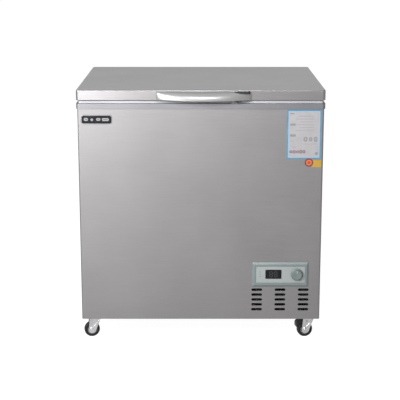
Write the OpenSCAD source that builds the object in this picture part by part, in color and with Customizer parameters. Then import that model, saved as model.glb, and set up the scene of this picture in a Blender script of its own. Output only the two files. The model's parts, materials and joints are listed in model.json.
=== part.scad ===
// Chest freezer on four swivel casters, with a sheet-steel cabinet and a hinged, gasketed lid.
// Frame: millimetres, +Z up, +X to the right seen from the front, the front faces -Y.
// Origin: centre of the bounding box, on the floor that the wheels stand on.

/* [Overall] */
// Width of the lid and of the top rim
lid_w = 830; // [780:10:900]
// Depth of the lid and of the top rim
lid_d = 640; // [600:10:700]
// Height of the lid's top above the floor
total_h = 880; // [860:5:920]
// Height of the cabinet's bottom edge above the floor
skirt_z = 81; // [79:1:84]
// Thickness of the insulated walls
wall_t = 60; // [56:1:66]

/* [Lid] */
// Height of the lid's steel skin
lid_h = 34; // [30:1:40]
// Height of the gasket that shows between lid and rim
gasket_h = 11; // [9:1:12]
// Height of the rim around the cabinet's top
rim_h = 17.5; // [15:0.5:22]
// Length of the pull handle
handle_w = 314; // [300:2:330]
// How far the handle sits to the right of the middle
handle_x = 9; // [0:1:12]
// How far the handle stands out of the lid's front
handle_reach = 36; // [30:1:44]

/* [Front] */
// Width of the control bezel
bezel_w = 194; // [180:1:200]
// Height of the control bezel
bezel_h = 88; // [80:1:96]
// Centre of the controls, to the right of the middle
control_x = 273.5; // [265:0.5:280]
// Centre of the controls, above the floor
control_z = 242.5; // [235:0.5:250]
// Diameter of the temperature knob
knob_d = 42; // [36:1:44]
// Length of a vent slot
slot_w = 37; // [30:1:42]
// Height of a vent slot
slot_h = 9; // [7:0.5:10]

/* [Casters] */
// Diameter of a caster wheel
wheel_d = 54; // [50:1:56]
// Width of a caster wheel
wheel_w = 20; // [16:1:22]
// Distance from the swivel axis back to the wheel's axle
trail = 9; // [8:1:14]
// Distance of the swivel axes from the middle, along X
caster_x = 374; // [366:1:374]

/* [Hidden] */

$fn = 48;
eps = 0.01;             // overlap that makes two shapes one solid
cut = 1;                // how far a cutting shape runs past a face
gap = 0.3;              // clearance between neighbours that don't touch
run = 0.05;             // radial clearance of a running fit

// Sheet thicknesses
skin_t = 1;             // cabinet and lid skins
pan_t = 1.2;            // base pan
liner_t = 1;            // inner tub

// Outline in plan: the hinges reach behind the lid as the handle reaches before it
hinge_back = 14;        // hinge axis behind the lid's back face
knuckle_r = 7;          // outside radius of a hinge knuckle
front_y = -(lid_d + handle_reach + hinge_back + knuckle_r) / 2 + handle_reach;
back_y = front_y + lid_d;
mid_y = (front_y + back_y) / 2;
overhang = 3.5;         // lid and rim stand this far proud of the cabinet
body_w = lid_w - 2 * overhang;
body_d = lid_d - 2 * overhang;
body_front = front_y + overhang;
body_back = back_y - overhang;
body_r = 6;             // bend radius of the cabinet's upright corners
rim_r = 10;             // corner radius of lid and rim

// Heights
lid_z = total_h - lid_h;
rim_z = lid_z - gasket_h;
rim_low = rim_z - rim_h;
pan_z = skirt_z;
ledge_drop = 12;        // the basket's ledge, below the rim's top
ledge_w = 18;
ledge_z = rim_z - ledge_drop;

// Inner tub
tub_x = body_w / 2 - wall_t;
tub_front = body_front + wall_t;
tub_back = body_back - wall_t;
tub_d = tub_back - tub_front;
tub_floor = skirt_z + wall_t + 6;
tub_r = 8;
coil_gap = 10;          // room for the evaporator between tub and foam
lip_t = 2;              // rim lip that covers the tub's cut edge

// Machine compartment at the lower right, and the step it makes in the tub
machine_x = 170;
machine_top = 310;
step_x = machine_x - wall_t;
step_z = machine_top + wall_t;

// Vents
slot_rows = 5;
slot_cols = 3;
slot_pitch_x = 80.2;
slot_pitch_z = 17.7;
slot_z = 116.4;         // lowest row
side_slot_y = body_back - 190;

// Controls
bezel_t = 6;
fascia_w = bezel_w - 25;
fascia_h = bezel_h - 29;
display_x = control_x - 24;
display_w = 55;
display_h = 32;
knob_x = control_x + 56.5;
knob_t = 13;
stem_r = 3;

// Hinges
hinge_z = lid_z - 8;
hinge_y = back_y + hinge_back;
hinge_x = 245;
pin_r = 4;
leaf_t = 2.5;

// Casters, named by corner; the turn is how far the fork is swung from pointing left
caster_front = body_front + 55;
caster_back = body_back - 55;
plate_t = 3;
plate_s = 54;
bolt_pitch = 40;
head_r = 17;            // swivel head
king_r = 4;
axle_r = 3;
web_z = 67;
fork_t = 2.5;
fork_gap = wheel_w / 2 + 1.5;
pedal_pin = [-4, 58.5];
function corner(tag) =
    tag == "fl" ? [-caster_x, caster_front, 12] :
    tag == "fr" ? [caster_x, caster_front, 12] :
    tag == "rl" ? [-caster_x, caster_back, -62] : [caster_x, caster_back, 15];

// ---------------------------------------------------------------- shared shapes

// Rectangle with round corners, centred
module rounded(w, d, r) {
    square([w - 2 * r, d], center = true);
    square([w, d - 2 * r], center = true);
    for (sx = [-1, 1], sy = [-1, 1])
        translate([sx * (w / 2 - r), sy * (d / 2 - r)])
            circle(r);
}

// Upright block with round corners, standing on z, centred on the lid's middle
module block(w, d, r, z, h, y = mid_y) {
    translate([0, y, z])
        linear_extrude(h)
            rounded(w, d, r);
}

// Box from one corner to the other
module span(low, high) {
    translate(low)
        cube(high - low);
}

// Slot with round ends, cut along +Y from y
module slot_y(x, y, z, w, h, depth) {
    translate([x, y, z])
        rotate([-90, 0, 0])
            linear_extrude(depth) {
                square([w - h, h], center = true);
                for (s = [-1, 1])
                    translate([s * (w - h) / 2, 0])
                        circle(h / 2, $fn = 24);
            }
}

// Cylinder lying along Y, from y
module rod_y(x, y, z, r, length) {
    translate([x, y, z])
        rotate([-90, 0, 0])
            cylinder(r = r, h = length);
}

// Cylinder lying along X, centred on x
module rod_x(x, y, z, r, length) {
    translate([x - length / 2, y, z])
        rotate([0, 90, 0])
            cylinder(r = r, h = length);
}

// Hexagon head or nut, standing on z
module hex(across, h) {
    cylinder(d = across / cos(30), h = h, $fn = 6);
}

// Direction along a path at point i, and a ring of points square to it
function unit(v) = v / norm(v);
function heading(p, i) = unit(p[min(i + 1, len(p) - 1)] - p[max(i - 1, 0)]);
function side(t) = unit(cross(t, abs(t[2]) < 0.9 ? [0, 0, 1] : [1, 0, 0]));
function ring(c, t, r, n) =
    let (u = side(t), v = cross(t, u))
    [for (k = [0 : n - 1]) c + r * (cos(360 * k / n) * u + sin(360 * k / n) * v)];

// Tube of n sides along a path
module sweep(path, r, n = 8) {
    m = len(path);
    points = [for (i = [0 : m - 1]) each ring(path[i], heading(path, i), r, n)];
    walls = [
        for (i = [0 : m - 2], k = [0 : n - 1])
            [i * n + k, i * n + (k + 1) % n, (i + 1) * n + (k + 1) % n, (i + 1) * n + k]
    ];
    first = [for (k = [n - 1 : -1 : 0]) k];
    last = [for (k = [0 : n - 1]) (m - 1) * n + k];
    polyhedron(points, concat([first], walls, [last]), convexity = 10);
}

// A path with its inner corners bent to radius r, in arcs of 4 chords
function bend(p, r) = [
    for (i = [0 : len(p) - 1])
        each (i == 0 || i == len(p) - 1) ? [p[i]] : let (
            a = unit(p[i - 1] - p[i]),
            b = unit(p[i + 1] - p[i]),
            half = acos(a * b) / 2,
            back = r / tan(half),
            c = p[i] + unit(a + b) * r / sin(half),
            u = unit(p[i] + a * back - c),
            w = unit(p[i] + b * back - c),
            turn = 180 - 2 * half
        ) [for (k = [0 : 4])
            c + r * (sin(turn * (1 - k / 4)) * u + sin(turn * k / 4) * w) / sin(turn)]
];

// ---------------------------------------------------------------- cabinet

module vent_slots(y, depth) {
    for (i = [0 : slot_cols - 1], j = [0 : slot_rows - 1])
        slot_y(control_x - slot_pitch_x + i * slot_pitch_x, y,
            slot_z + j * slot_pitch_z, slot_w, slot_h, depth);
}

// Front and both sides, bent from one sheet
module wrapper() {
    top = rim_z - 6;
    color("silver")
        difference() {
            block(body_w, body_d, body_r, skirt_z, top - skirt_z);
            block(body_w - 2 * skin_t, body_d - 2 * skin_t, body_r - skin_t,
                skirt_z - cut, top - skirt_z + 2 * cut);
            span([-body_w, body_back - body_r, 0], [body_w, body_back + cut, total_h]);
            span([control_x - bezel_w / 2 + 8, body_front - cut, control_z - bezel_h / 2 + 8],
                [control_x + bezel_w / 2 - 8, body_front + 3, control_z + bezel_h / 2 - 8]);
            vent_slots(body_front - cut, 4);
            for (i = [0, 1], j = [0 : slot_rows - 1])
                translate([body_w / 2 - 3, side_slot_y + i * slot_pitch_x,
                    slot_z + j * slot_pitch_z])
                    rotate([0, 0, -90])
                        slot_y(0, 0, 0, slot_w, slot_h, 5);
        }
}

grille_w = 190;
grille_h = 214;
grille_x = machine_x + 36 + grille_w / 2;
grille_z = skirt_z + 9 + grille_h / 2;
gland_x = 188;
gland_z = 112;
drain_x = -200;
drain_z = skirt_z + 28;

module back_panel() {
    color("gainsboro")
        difference() {
            span([-body_w / 2 + skin_t + gap, body_back - body_r, skirt_z + pan_t + gap],
                [body_w / 2 - skin_t - gap, body_back, rim_z - 6]);
            span([-body_w / 2 + skin_t + gap + skin_t, body_back - body_r - cut, skirt_z - cut],
                [body_w / 2 - 2 * skin_t - gap, body_back - skin_t, rim_z]);
            span([grille_x - grille_w / 2 + 12, body_back - 3, grille_z - grille_h / 2 + 12],
                [grille_x + grille_w / 2 - 12, body_back + cut, grille_z + grille_h / 2 - 12]);
            rod_y(gland_x, body_back - 3, gland_z, 9 + gap, 6);
            rod_y(drain_x, body_back - 3, drain_z, 9 + gap, 6);
            for (sx = [-1, 1], sz = [-1, 1])
                rod_y(grille_x + sx * (grille_w / 2 - 6), body_back - 3,
                    grille_z + sz * (grille_h / 2 - 6), 1.6 + run, 6);
            for (sx = [-1, 1], dx = [-1, 1])
                rod_y(sx * hinge_x + dx * 22, body_back - 3, rim_z - 70, 2.1 + run, 6);
        }
}

module base_pan() {
    flange = 24;
    out_w = body_w - 2 * skin_t - 2 * gap;
    out_d = body_d - 2 * skin_t - 2 * gap;
    color("darkgray")
        difference() {
            block(out_w, out_d, body_r - skin_t - gap, pan_z, flange);
            block(out_w - 2 * pan_t, out_d - 2 * pan_t, body_r - skin_t - gap - pan_t,
                pan_z + pan_t, flange);
            for (tag = ["fl", "fr", "rl", "rr"], sx = [-1, 1], sy = [-1, 1])
                translate([corner(tag)[0] + sx * bolt_pitch / 2,
                    corner(tag)[1] + sy * bolt_pitch / 2, pan_z - cut])
                    cylinder(r = 3 + run, h = 5);
            span([-body_w, body_back - body_r - gap, pan_z + pan_t],
                [body_w, body_back + cut, total_h]);
            for (i = [0 : 5])
                span([machine_x + 40 + i * 24, -60, pan_z - cut],
                    [machine_x + 50 + i * 24, 60, pan_z + 3]);
        }
}

// Folded sheet that closes the machine compartment off from the foam
module bulkhead() {
    x1 = body_w / 2 - skin_t - gap - 3.2;
    y0 = body_front + skin_t + gap;
    y1 = body_back - skin_t - gap;
    color("lightgray")
        difference() {
            span([machine_x - skin_t, y0, pan_z + pan_t], [x1, y1, machine_top + skin_t]);
            span([machine_x, y0 - cut, pan_z], [x1 + cut, y1 + cut, machine_top]);
            span([machine_x - 2, y0 - cut, pan_z], [machine_x + 1, y0 + 8, pan_z + 26]);
            span([machine_x - 2, y1 - 8, pan_z], [machine_x + 1, y1 + cut, pan_z + 26]);
        }
}

// The tub's space, grown by g on all sides, with its step over the machine compartment
module tub_space(g, top) {
    r = tub_r + g;
    difference() {
        block(2 * tub_x + 2 * g, tub_d + 2 * g, r, tub_floor - g, top - tub_floor + g,
            (tub_front + tub_back) / 2);
        span([step_x + g, tub_front - 2 * g - cut, tub_floor - g - cut],
            [tub_x + 2 * g + cut, tub_back + 2 * g + cut, step_z - g]);
    }
}

drain_hole_r = 9;
drain_hole_x = -150;

module tub_liner() {
    top = ledge_z - 3;
    color("whitesmoke")
        difference() {
            union() {
                tub_space(liner_t, top);
                block(2 * tub_x + 22, tub_d + 22, tub_r, top - 1, 1, (tub_front + tub_back) / 2);
            }
            tub_space(0, top + cut);
            translate([drain_hole_x, mid_y, tub_floor - 5])
                cylinder(r = drain_hole_r + run, h = 10);
        }
}

module body_foam() {
    foam_top = ledge_z - 4.5;
    color("khaki")
        difference() {
            block(body_w - 2 * skin_t - 2 * pan_t - 1.2, body_d - 2 * skin_t - 2 * pan_t - 1.2,
                4, pan_z + pan_t, foam_top - pan_z - pan_t);
            tub_space(liner_t + coil_gap, foam_top + cut);
            span([machine_x - skin_t - gap, body_front - cut, pan_z - cut],
                [body_w, body_back + cut, machine_top + skin_t + gap]);
            translate([drain_hole_x, mid_y, pan_z])
                cylinder(r = 13, h = 100);
            span([drain_hole_x - 50 - 13, mid_y - 13, drain_z - 13],
                [drain_hole_x + 13, mid_y + 13, drain_z + 13]);
            span([drain_x - 13, mid_y - 13, drain_z - 13], [drain_x + 13, body_back + cut, drain_z + 13]);
            for (tag = ["fl", "rl"], sx = [-1, 1], sy = [-1, 1])
                translate([corner(tag)[0] + sx * bolt_pitch / 2,
                    corner(tag)[1] + sy * bolt_pitch / 2, pan_z])
                    cylinder(r = 8, h = 14);
        }
}

catch_h = 9;

// Moulded frame around the opening: outer skirt, top, a lower ledge for the basket and an inner lip
module top_rim() {
    y = (tub_front + tub_back) / 2;
    // catch that the lock's tongue turns under
    color("gray") {
        span([lock_x - 16, front_y + 4, rim_z - eps], [lock_x + 16, front_y + 6, rim_z + catch_h]);
        span([lock_x - 16, front_y + 0.5, rim_z + catch_h - 2], [lock_x + 16, front_y + 6, rim_z + catch_h]);
    }
    color("gray")
        difference() {
            block(lid_w, lid_d, rim_r, rim_low, rim_h);
            block(lid_w - 6, lid_d - 6, 3, rim_low - cut, rim_h + 2 * cut);
        }
    color("gray")
        difference() {
            union() {
                block(lid_w - 4, lid_d - 4, rim_r - 2, rim_z - 3, 3);
                block(2 * tub_x + 2 * ledge_w, tub_d + 2 * ledge_w, tub_r + 4,
                    ledge_z - 3, ledge_drop + 3 - eps, y);
                block(2 * tub_x - 2 * gap, tub_d - 2 * gap, tub_r - gap, ledge_z - 14, 12, y);
            }
            block(2 * tub_x + 2 * ledge_w - 6, tub_d + 2 * ledge_w - 6, tub_r + 1,
                ledge_z, 20, y);
            block(2 * tub_x - 2 * lip_t, tub_d - 2 * lip_t, tub_r - lip_t, ledge_z - 30, 60, y);
        }
}

// One tube wound round the upper tub, clear of liner and foam
module evaporator_coil() {
    turns = 6;
    pitch = 62;
    out = liner_t + coil_gap / 2;
    x = tub_x + out;
    y0 = tub_front - out;
    y1 = tub_back + out;
    low = step_z + 36;
    route = [
        for (i = [0 : turns - 1])
            each [[-x, y0, low + pitch * i], [x, y0, low + pitch * (i + 0.25)],
                [x, y1, low + pitch * (i + 0.5)], [-x, y1, low + pitch * (i + 0.75)]]
    ];
    start = [[-x, mid_y, low - 6]];
    end = [[-x, mid_y, low + pitch * turns]];
    color("chocolate")
        sweep(bend(concat(start, route, end), tub_r + out), 4);
}

// ---------------------------------------------------------------- front details

badge = [-347.5, 781.5];

module badge_plate() {
    color("black")
        translate([badge[0], body_front, badge[1]])
            rotate([90, 0, 0]) {
                linear_extrude(1.6)
                    rounded(104, 31, 9);
                linear_extrude(2.2)
                    rounded(99, 26, 7);
            }
}

label_x = [286, 405];
label_z = [646, rim_low - 1];

module front_labels() {
    dot = [363.7, 635];
    color("lightblue")
        span([label_x[0], body_front - 0.4, label_z[0]], [label_x[1], body_front, label_z[1]]);
    color("orangered")
        rod_y(dot[0], body_front - 0.4, dot[1], 14.8, 0.4);
    color("gold")
        difference() {
            span([dot[0] + 8, body_front - 0.4, 619.5], [label_x[1], body_front, 643.5]);
            rod_y(dot[0], body_front - 1, dot[1], 15, 2);
        }
}

// Frame with bevelled sides; the wall behind goes through the cabinet's cut-out
module control_bezel() {
    bevel = 7;
    inner_w = bezel_w - 16 - 2 * gap;
    inner_h = bezel_h - 16 - 2 * gap;
    color("#9fb3ae")
        translate([control_x, body_front, control_z])
            rotate([90, 0, 0])
                difference() {
                    union() {
                        hull() {
                            linear_extrude(1)
                                square([bezel_w, bezel_h], center = true);
                            linear_extrude(bezel_t)
                                square([bezel_w - 2 * bevel, bezel_h - 2 * bevel], center = true);
                        }
                        translate([0, 0, -12])
                            linear_extrude(12 + eps)
                                square([inner_w, inner_h], center = true);
                    }
                    translate([0, 0, -15])
                        linear_extrude(13)
                            square([inner_w - 4, inner_h - 4], center = true);
                    translate([0, 0, bezel_t - 3])
                        linear_extrude(10)
                            square([fascia_w, fascia_h], center = true);
                    translate([display_x - control_x, 1.8, -4])
                        linear_extrude(20)
                            square([display_w - 4, display_h - 4], center = true);
                    translate([knob_x - control_x, 1.3, -4])
                        cylinder(r = 8, h = 20);
                }
}

module control_fascia() {
    color("#c5d0cd")
        translate([control_x, body_front, control_z])
            rotate([90, 0, 0])
                difference() {
                    translate([0, 0, bezel_t - 3])
                        linear_extrude(1.5)
                            square([fascia_w - 2 * gap, fascia_h - 2 * gap], center = true);
                    translate([display_x - control_x, 1.8, 0])
                        linear_extrude(20)
                            square([display_w - 4, display_h - 4], center = true);
                    translate([knob_x - control_x, 1.3, 0])
                        cylinder(r = 5, h = 20);
                }
}

module display_window() {
    color("black")
        translate([display_x, body_front - bezel_t + 1.5, control_z + 1.8])
            rotate([90, 0, 0]) {
                linear_extrude(1.6)
                    rounded(display_w, display_h, 2);
                translate([0, 0, -4])
                    linear_extrude(4 + eps)
                        square([display_w - 5, display_h - 5], center = true);
            }
}

// Circuit board across the back of the bezel's wall, with its digit module and parts
module display_board() {
    back = body_front + 12;
    color("seagreen")
        span([display_x - 36, back, control_z - 34.5], [display_x + 36, back + 1.6, control_z + 34.5]);
    color("dimgray") {
        span([display_x - 25, back - 5, control_z - 12], [display_x + 25, back + eps, control_z + 15]);
        span([display_x - 28, back + 1.6 - eps, control_z - 20], [display_x - 6, back + 16, control_z]);
        rod_y(display_x + 18, back + 1.6 - eps, control_z - 14, 6, 14);
        span([display_x - 30, back + 1.6 - eps, control_z + 8], [display_x + 30, back + 9, control_z + 22]);
    }
}

module thermostat() {
    y = body_front + 9;
    color("silver")
        difference() {
            union() {
                span([knob_x - 18, y, control_z - 20], [knob_x + 18, y + 26, control_z + 22]);
                rod_y(knob_x, body_front + 2, control_z + 1.3, 10, y - body_front - 1);
            }
            rod_y(knob_x, body_front + 1, control_z + 1.3, stem_r + run, 28);
        }
    color("goldenrod")
        for (dz = [-10, 2, 14])
            span([knob_x - 3, y + 26 - eps, control_z + dz], [knob_x + 3, y + 34, control_z + dz + 1]);
}

// Dial with a grip bar across its face, and the stem that turns the thermostat
module temp_knob() {
    face = body_front - bezel_t + 1.5 - gap;
    z = control_z + 1.3;
    color("#a9bab6") {
        rod_y(knob_x, face - 4, z, knob_d / 2, 4);
        rod_y(knob_x, face - knob_t, z, knob_d / 2 - 3.5, knob_t - 4 + eps);
        rod_y(knob_x, face - eps, z, stem_r, body_front + 26 - face);
    }
    color("white")
        span([knob_x - 1, face - knob_t - 0.8, z + 4], [knob_x + 1, face - knob_t + eps, z + 16]);
}

// ---------------------------------------------------------------- cooling system

comp = [285, 30];
comp_z = pan_z + pan_t + 18;

// Welded dome shell; its wall stands for the motor and pump sealed inside
module compressor_shell() {
    r = 76;
    wall = 9;
    profile = function (r, low, high, k) concat(
        [[0, low]],
        [for (a = [-90 : 15 : 0]) [r - k + k * cos(a), low + k + k * sin(a)]],
        [for (a = [0 : 15 : 90]) [r - k + k * cos(a), high - k + k * sin(a)]],
        [[0, high]]
    );
    color("#202020")
        translate([comp[0], comp[1], comp_z]) {
            difference() {
                rotate_extrude($fn = 64)
                    polygon(profile(r, 4, 168, 34));
                rotate_extrude($fn = 64)
                    polygon(profile(r - wall, 4 + wall, 168 - wall, 26));
            }
            difference() {
                union() {
                    translate([0, 0, 84])
                        cylinder(r = r + 3, h = 5);
                    span([r - 6, -16, 54], [r + 3 + gap, 16, 80]);
                    rod_x(-r, -20, stub_z[0], 4, 12);
                    rod_y(-20, r - 8, stub_z[1], 5, 12);
                }
                translate([0, 0, 40])
                    cylinder(r = r - 4, h = 100);
            }
        }
}
// Heights of the discharge and suction stubs above the compressor's feet
stub_z = [120, 126];

module compressor_base() {
    color("#303030")
        translate([comp[0], comp[1], comp_z - 2])
            difference() {
                union() {
                    span([-92, -58, 0], [92, -34, 3]);
                    span([-92, 34, 0], [92, 58, 3]);
                    span([-34, -58, 0], [34, 58, 3]);
                    cylinder(r = 30, h = 6);
                }
                for (sx = [-1, 1], sy = [-1, 1])
                    translate([sx * 80, sy * 46, -cut])
                        cylinder(r = 7 + run, h = 8);
            }
}

module compressor_grommets() {
    color("#181818")
        for (sx = [-1, 1], sy = [-1, 1])
            translate([comp[0] + sx * 80, comp[1] + sy * 46, pan_z + pan_t]) {
                cylinder(r = 11, h = 16);
                cylinder(r = 7, h = 22);
                translate([0, 0, 19 + gap])
                    cylinder(r = 10, h = 4);
            }
}

module terminal_cover() {
    color("#2b2b2b")
        translate([comp[0] + 79.5 + gap, comp[1], comp_z + 50])
            difference() {
                span([0, -26, 0], [28, 26, 62]);
                span([2, -23, 3], [25, 23, 59]);
            }
}

cond = [[200, 374], [body_front + 30, body_front + 84], [96, 196]];
cond_rows = [108, 132, 156, 180];
cond_cols = [cond[1][0] + 14, cond[1][0] + 40];
cond_tube_r = 3.5;
cond_ends = [cond[0][0] - 4, cond[0][1] + 4];

// Half a ring let into two tube ends of the condenser, bulging to s along X
module return_bend(x, y, z, pitch, s, turned = 0) {
    translate([x, y, z])
        rotate([90 + turned, 0, 0])
            difference() {
                rotate_extrude()
                    translate([pitch / 2, 0])
                        circle(cond_tube_r - 0.2, $fn = 24);
                translate([-s * 50 - 50, -50, -50])
                    cube([100, 100, 100]);
            }
}

// Finned block: upright fins on the rows of two serpentine tubes, joined at the top
module condenser() {
    fins = 22;
    pitch = cond_rows[1] - cond_rows[0];
    color("#303030") {
        for (i = [0 : fins - 1])
            translate([cond[0][0] + i * 8, 0, 0])
                span([0, cond[1][0], cond[2][0]], [0.8, cond[1][1], cond[2][1]]);
        for (z = cond_rows, y = cond_cols)
            rod_x((cond_ends[0] + cond_ends[1]) / 2, y, z, cond_tube_r, cond_ends[1] - cond_ends[0]);
        for (y = cond_cols) {
            return_bend(cond_ends[1] - 1, y, cond_rows[0] + pitch / 2, pitch, 1);
            return_bend(cond_ends[0] + 1, y, cond_rows[1] + pitch / 2, pitch, -1);
            return_bend(cond_ends[1] - 1, y, cond_rows[2] + pitch / 2, pitch, 1);
        }
        return_bend(cond_ends[0] + 1, (cond_cols[0] + cond_cols[1]) / 2, cond_rows[3],
            cond_cols[1] - cond_cols[0], -1, 90);
    }
}

fan_at = [273, body_front + 112, 186];
fan_r = 66;

module fan_shroud() {
    color("gray")
        difference() {
            union() {
                span([fan_at[0] - 78, fan_at[1] - 18, pan_z + pan_t], [fan_at[0] + 78, fan_at[1] - 16, 268]);
                rod_y(fan_at[0], fan_at[1] - 18, fan_at[2], fan_r + 6, 26);
                span([fan_at[0] - 78, fan_at[1] - 18, pan_z + pan_t], [fan_at[0] + 78, fan_at[1] + 60, pan_z + pan_t + 2]);
            }
            rod_y(fan_at[0], fan_at[1] - 20, fan_at[2], fan_r + 3, 40);
        }
    color("gray")
        difference() {
            span([fan_at[0] - 28, fan_at[1] + 26, pan_z + pan_t], [fan_at[0] + 28, fan_at[1] + 28, fan_at[2] + 26]);
            rod_y(fan_at[0], fan_at[1] + 20, fan_at[2], 21.5 + run, 20);
        }
}

module fan_motor() {
    y = fan_at[1] + 10;
    color("#404040")
        difference() {
            union() {
                rod_y(fan_at[0], y, fan_at[2], 21.5, 40);
                span([fan_at[0] - 25, y + 18, fan_at[2] - 25], [fan_at[0] + 25, y + 30, fan_at[2] + 25]);
            }
            rod_y(fan_at[0], y - 1, fan_at[2], 2.5 + run, 25);
        }
}

// Four pitched blades on a hub, with the stub of shaft that enters the motor
module fan_blade() {
    blades = 4;
    color("whitesmoke")
        translate(fan_at)
            rotate([90, 0, 0]) {
                translate([0, 0, -8])
                    cylinder(r = 15, h = 20);
                translate([0, 0, -24])
                    cylinder(r = 2.5, h = 18);
                for (k = [0 : blades - 1])
                    rotate([0, 0, k * 360 / blades])
                        translate([0, 0, 2])
                            rotate([0, 90, 0])
                                rotate([0, 0, 32])
                                    translate([-0.9, -15, 12])
                                        cube([1.8, 30, fan_r - 16]);
            }
}

drier = [186, 150, 190];

module filter_drier() {
    color("peru")
        translate(drier) {
            cylinder(r = 8, h = 74);
            translate([0, 0, -10])
                cylinder(r = 4, h = 11);
            translate([0, 0, 73])
                cylinder(r = 4, h = 11);
        }
}

// Discharge line to the condenser, condenser to drier, and suction line back from the tub
module refrigerant_pipes() {
    start_x = comp[0] - 76 - 6;
    low_z = 90;
    side_x = 176;
    z0 = comp_z + stub_z[0];
    z1 = comp_z + stub_z[1];
    end_x = cond_ends[0];
    color("peru") {
        sweep(bend([[start_x, comp[1] - 20, z0], [190, comp[1] - 20, z0], [190, comp[1] - 20, 280],
            [190, -150, 280], [190, -150, 212], [side_x, -150, 212], [side_x, cond_cols[1], 212],
            [side_x, cond_cols[1], cond_rows[0]], [end_x, cond_cols[1], cond_rows[0]]], 5), 2.5);
        sweep(bend([[end_x, cond_cols[0], cond_rows[0]], [side_x + 6, cond_cols[0], cond_rows[0]],
            [side_x + 6, cond_cols[0], low_z], [side_x + 6, 90, low_z], [drier[0], drier[1], low_z],
            [drier[0], drier[1], drier[2] - 10 - gap]], 5), 2.5);
        sweep(bend([[comp[0] - 20, comp[1] + 80, z1], [comp[0] - 20, 190, z1],
            [210, 190, z1], [210, 230, z1], [210, 230, machine_top - gap]], 6), 3.5);
    }
}

// ---------------------------------------------------------------- back

module rear_grille() {
    color("lightgray")
        difference() {
            span([grille_x - grille_w / 2, body_back, grille_z - grille_h / 2],
                [grille_x + grille_w / 2, body_back + skin_t, grille_z + grille_h / 2]);
            for (i = [0 : 3], j = [0 : 8])
                slot_y(grille_x - 60 + i * 40, body_back - cut, grille_z - 80 + j * 20, 30, 7, 4);
            for (sx = [-1, 1], sz = [-1, 1])
                rod_y(grille_x + sx * (grille_w / 2 - 6), body_back - 3,
                    grille_z + sz * (grille_h / 2 - 6), 1.6 + run, 6);
        }
}

module panel_screws() {
    color("silver") {
        for (sx = [-1, 1], sz = [-1, 1]) {
            rod_y(grille_x + sx * (grille_w / 2 - 6), body_back - 4,
                grille_z + sz * (grille_h / 2 - 6), 1.6, 5 + 2);
            rod_y(grille_x + sx * (grille_w / 2 - 6), body_back + skin_t,
                grille_z + sz * (grille_h / 2 - 6), 3.4, 2);
        }
        for (sx = [-1, 1], dx = [-1, 1]) {
            rod_y(sx * hinge_x + dx * 22, body_back - 2.5, rim_z - 70, 2.1, 2.5 + leaf_t + 1);
            rod_y(sx * hinge_x + dx * 22, body_back + leaf_t, rim_z - 70, 4.2, 2.2);
        }
    }
}

// Bushing that the mains lead leaves by
module cord_gland() {
    color("black")
        difference() {
            union() {
                rod_y(gland_x, body_back - 8, gland_z, 9, 8 + eps);
                rod_y(gland_x, body_back, gland_z, 13, 3);
                rod_y(gland_x, body_back + 3 - eps, gland_z, 8, 7);
            }
            rod_y(gland_x, body_back - 9, gland_z, 4, 20);
        }
}

// Elbow from the tub's drain to a hose spigot at the back
module drain_spout() {
    color("gainsboro")
        difference() {
            union() {
                translate([drain_hole_x, mid_y, drain_z - 12])
                    cylinder(r = 12, h = tub_floor - liner_t - drain_z + 12);
                span([drain_x - 12, mid_y - 12, drain_z - 12], [drain_hole_x, mid_y + 12, drain_z + 12]);
                rod_y(drain_x, mid_y, drain_z, 9, body_back - mid_y + 16);
                rod_y(drain_x, body_back, drain_z, 14, 3);
            }
            translate([drain_hole_x, mid_y, drain_z - 6])
                cylinder(r = drain_hole_r + run, h = 100);
            rod_y(drain_x, mid_y, drain_z, 6, body_back - mid_y + 30);
            translate([drain_x, mid_y, drain_z])
                rotate([0, 90, 0])
                    cylinder(r = 6, h = drain_hole_x - drain_x);
        }
}

// Rubber stopper in the tub floor, with a ring to pull it by
module drain_plug() {
    color("dimgray")
        translate([drain_hole_x, mid_y, tub_floor]) {
            translate([0, 0, -14])
                cylinder(r = drain_hole_r - 0.2, h = 14 + 2 * gap);
            translate([0, 0, gap])
                cylinder(r = 14, h = 4);
            translate([0, 0, 4])
                difference() {
                    span([-7, -2, 0], [7, 2, 14]);
                    rod_y(0, -4, 7, 4, 8);
                }
        }
}

// ---------------------------------------------------------------- hinges

// Per hinge along X, from its middle: ears outside, the lid's knuckle and the spring between
ear_w = 8;
ear_x = 26;
lid_knuckle = [-18, 2];
spring_span = [3, 21];

module hinge_cabinet_leaves() {
    z_low = rim_z - 90;
    z_high = rim_low - 22;
    color("darkgray")
        for (s = [-1, 1])
            translate([s * hinge_x, 0, 0])
                difference() {
                    union() {
                        span([-34, body_back, z_low], [34, body_back + leaf_t, z_high]);
                        for (e = [-1, 1]) {
                            rod_x(e * ear_x, hinge_y, hinge_z, knuckle_r, ear_w);
                            translate([e * ear_x - ear_w / 2, 0, 0])
                                rotate([90, 0, 90])
                                    linear_extrude(ear_w)
                                        polygon([[body_back, z_low + 30], [body_back, z_high],
                                            [hinge_y - knuckle_r, hinge_z],
                                            [hinge_y + knuckle_r, hinge_z],
                                            [hinge_y + knuckle_r - 1, hinge_z - 12],
                                            [body_back + leaf_t, z_low + 26]]);
                        }
                    }
                    rod_x(0, hinge_y, hinge_z, pin_r + run, 80);
                    for (dx = [-1, 1])
                        rod_y(dx * 22, body_back - cut, rim_z - 70, 2.1 + run, 6);
                }
}

module hinge_pins() {
    color("silver")
        for (s = [-1, 1]) {
            rod_x(s * hinge_x, hinge_y, hinge_z, pin_r, 64);
            for (e = [-1, 1])
                rod_x(s * hinge_x + e * 32, hinge_y, hinge_z, pin_r + 2.2, 2.5);
        }
}

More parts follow.
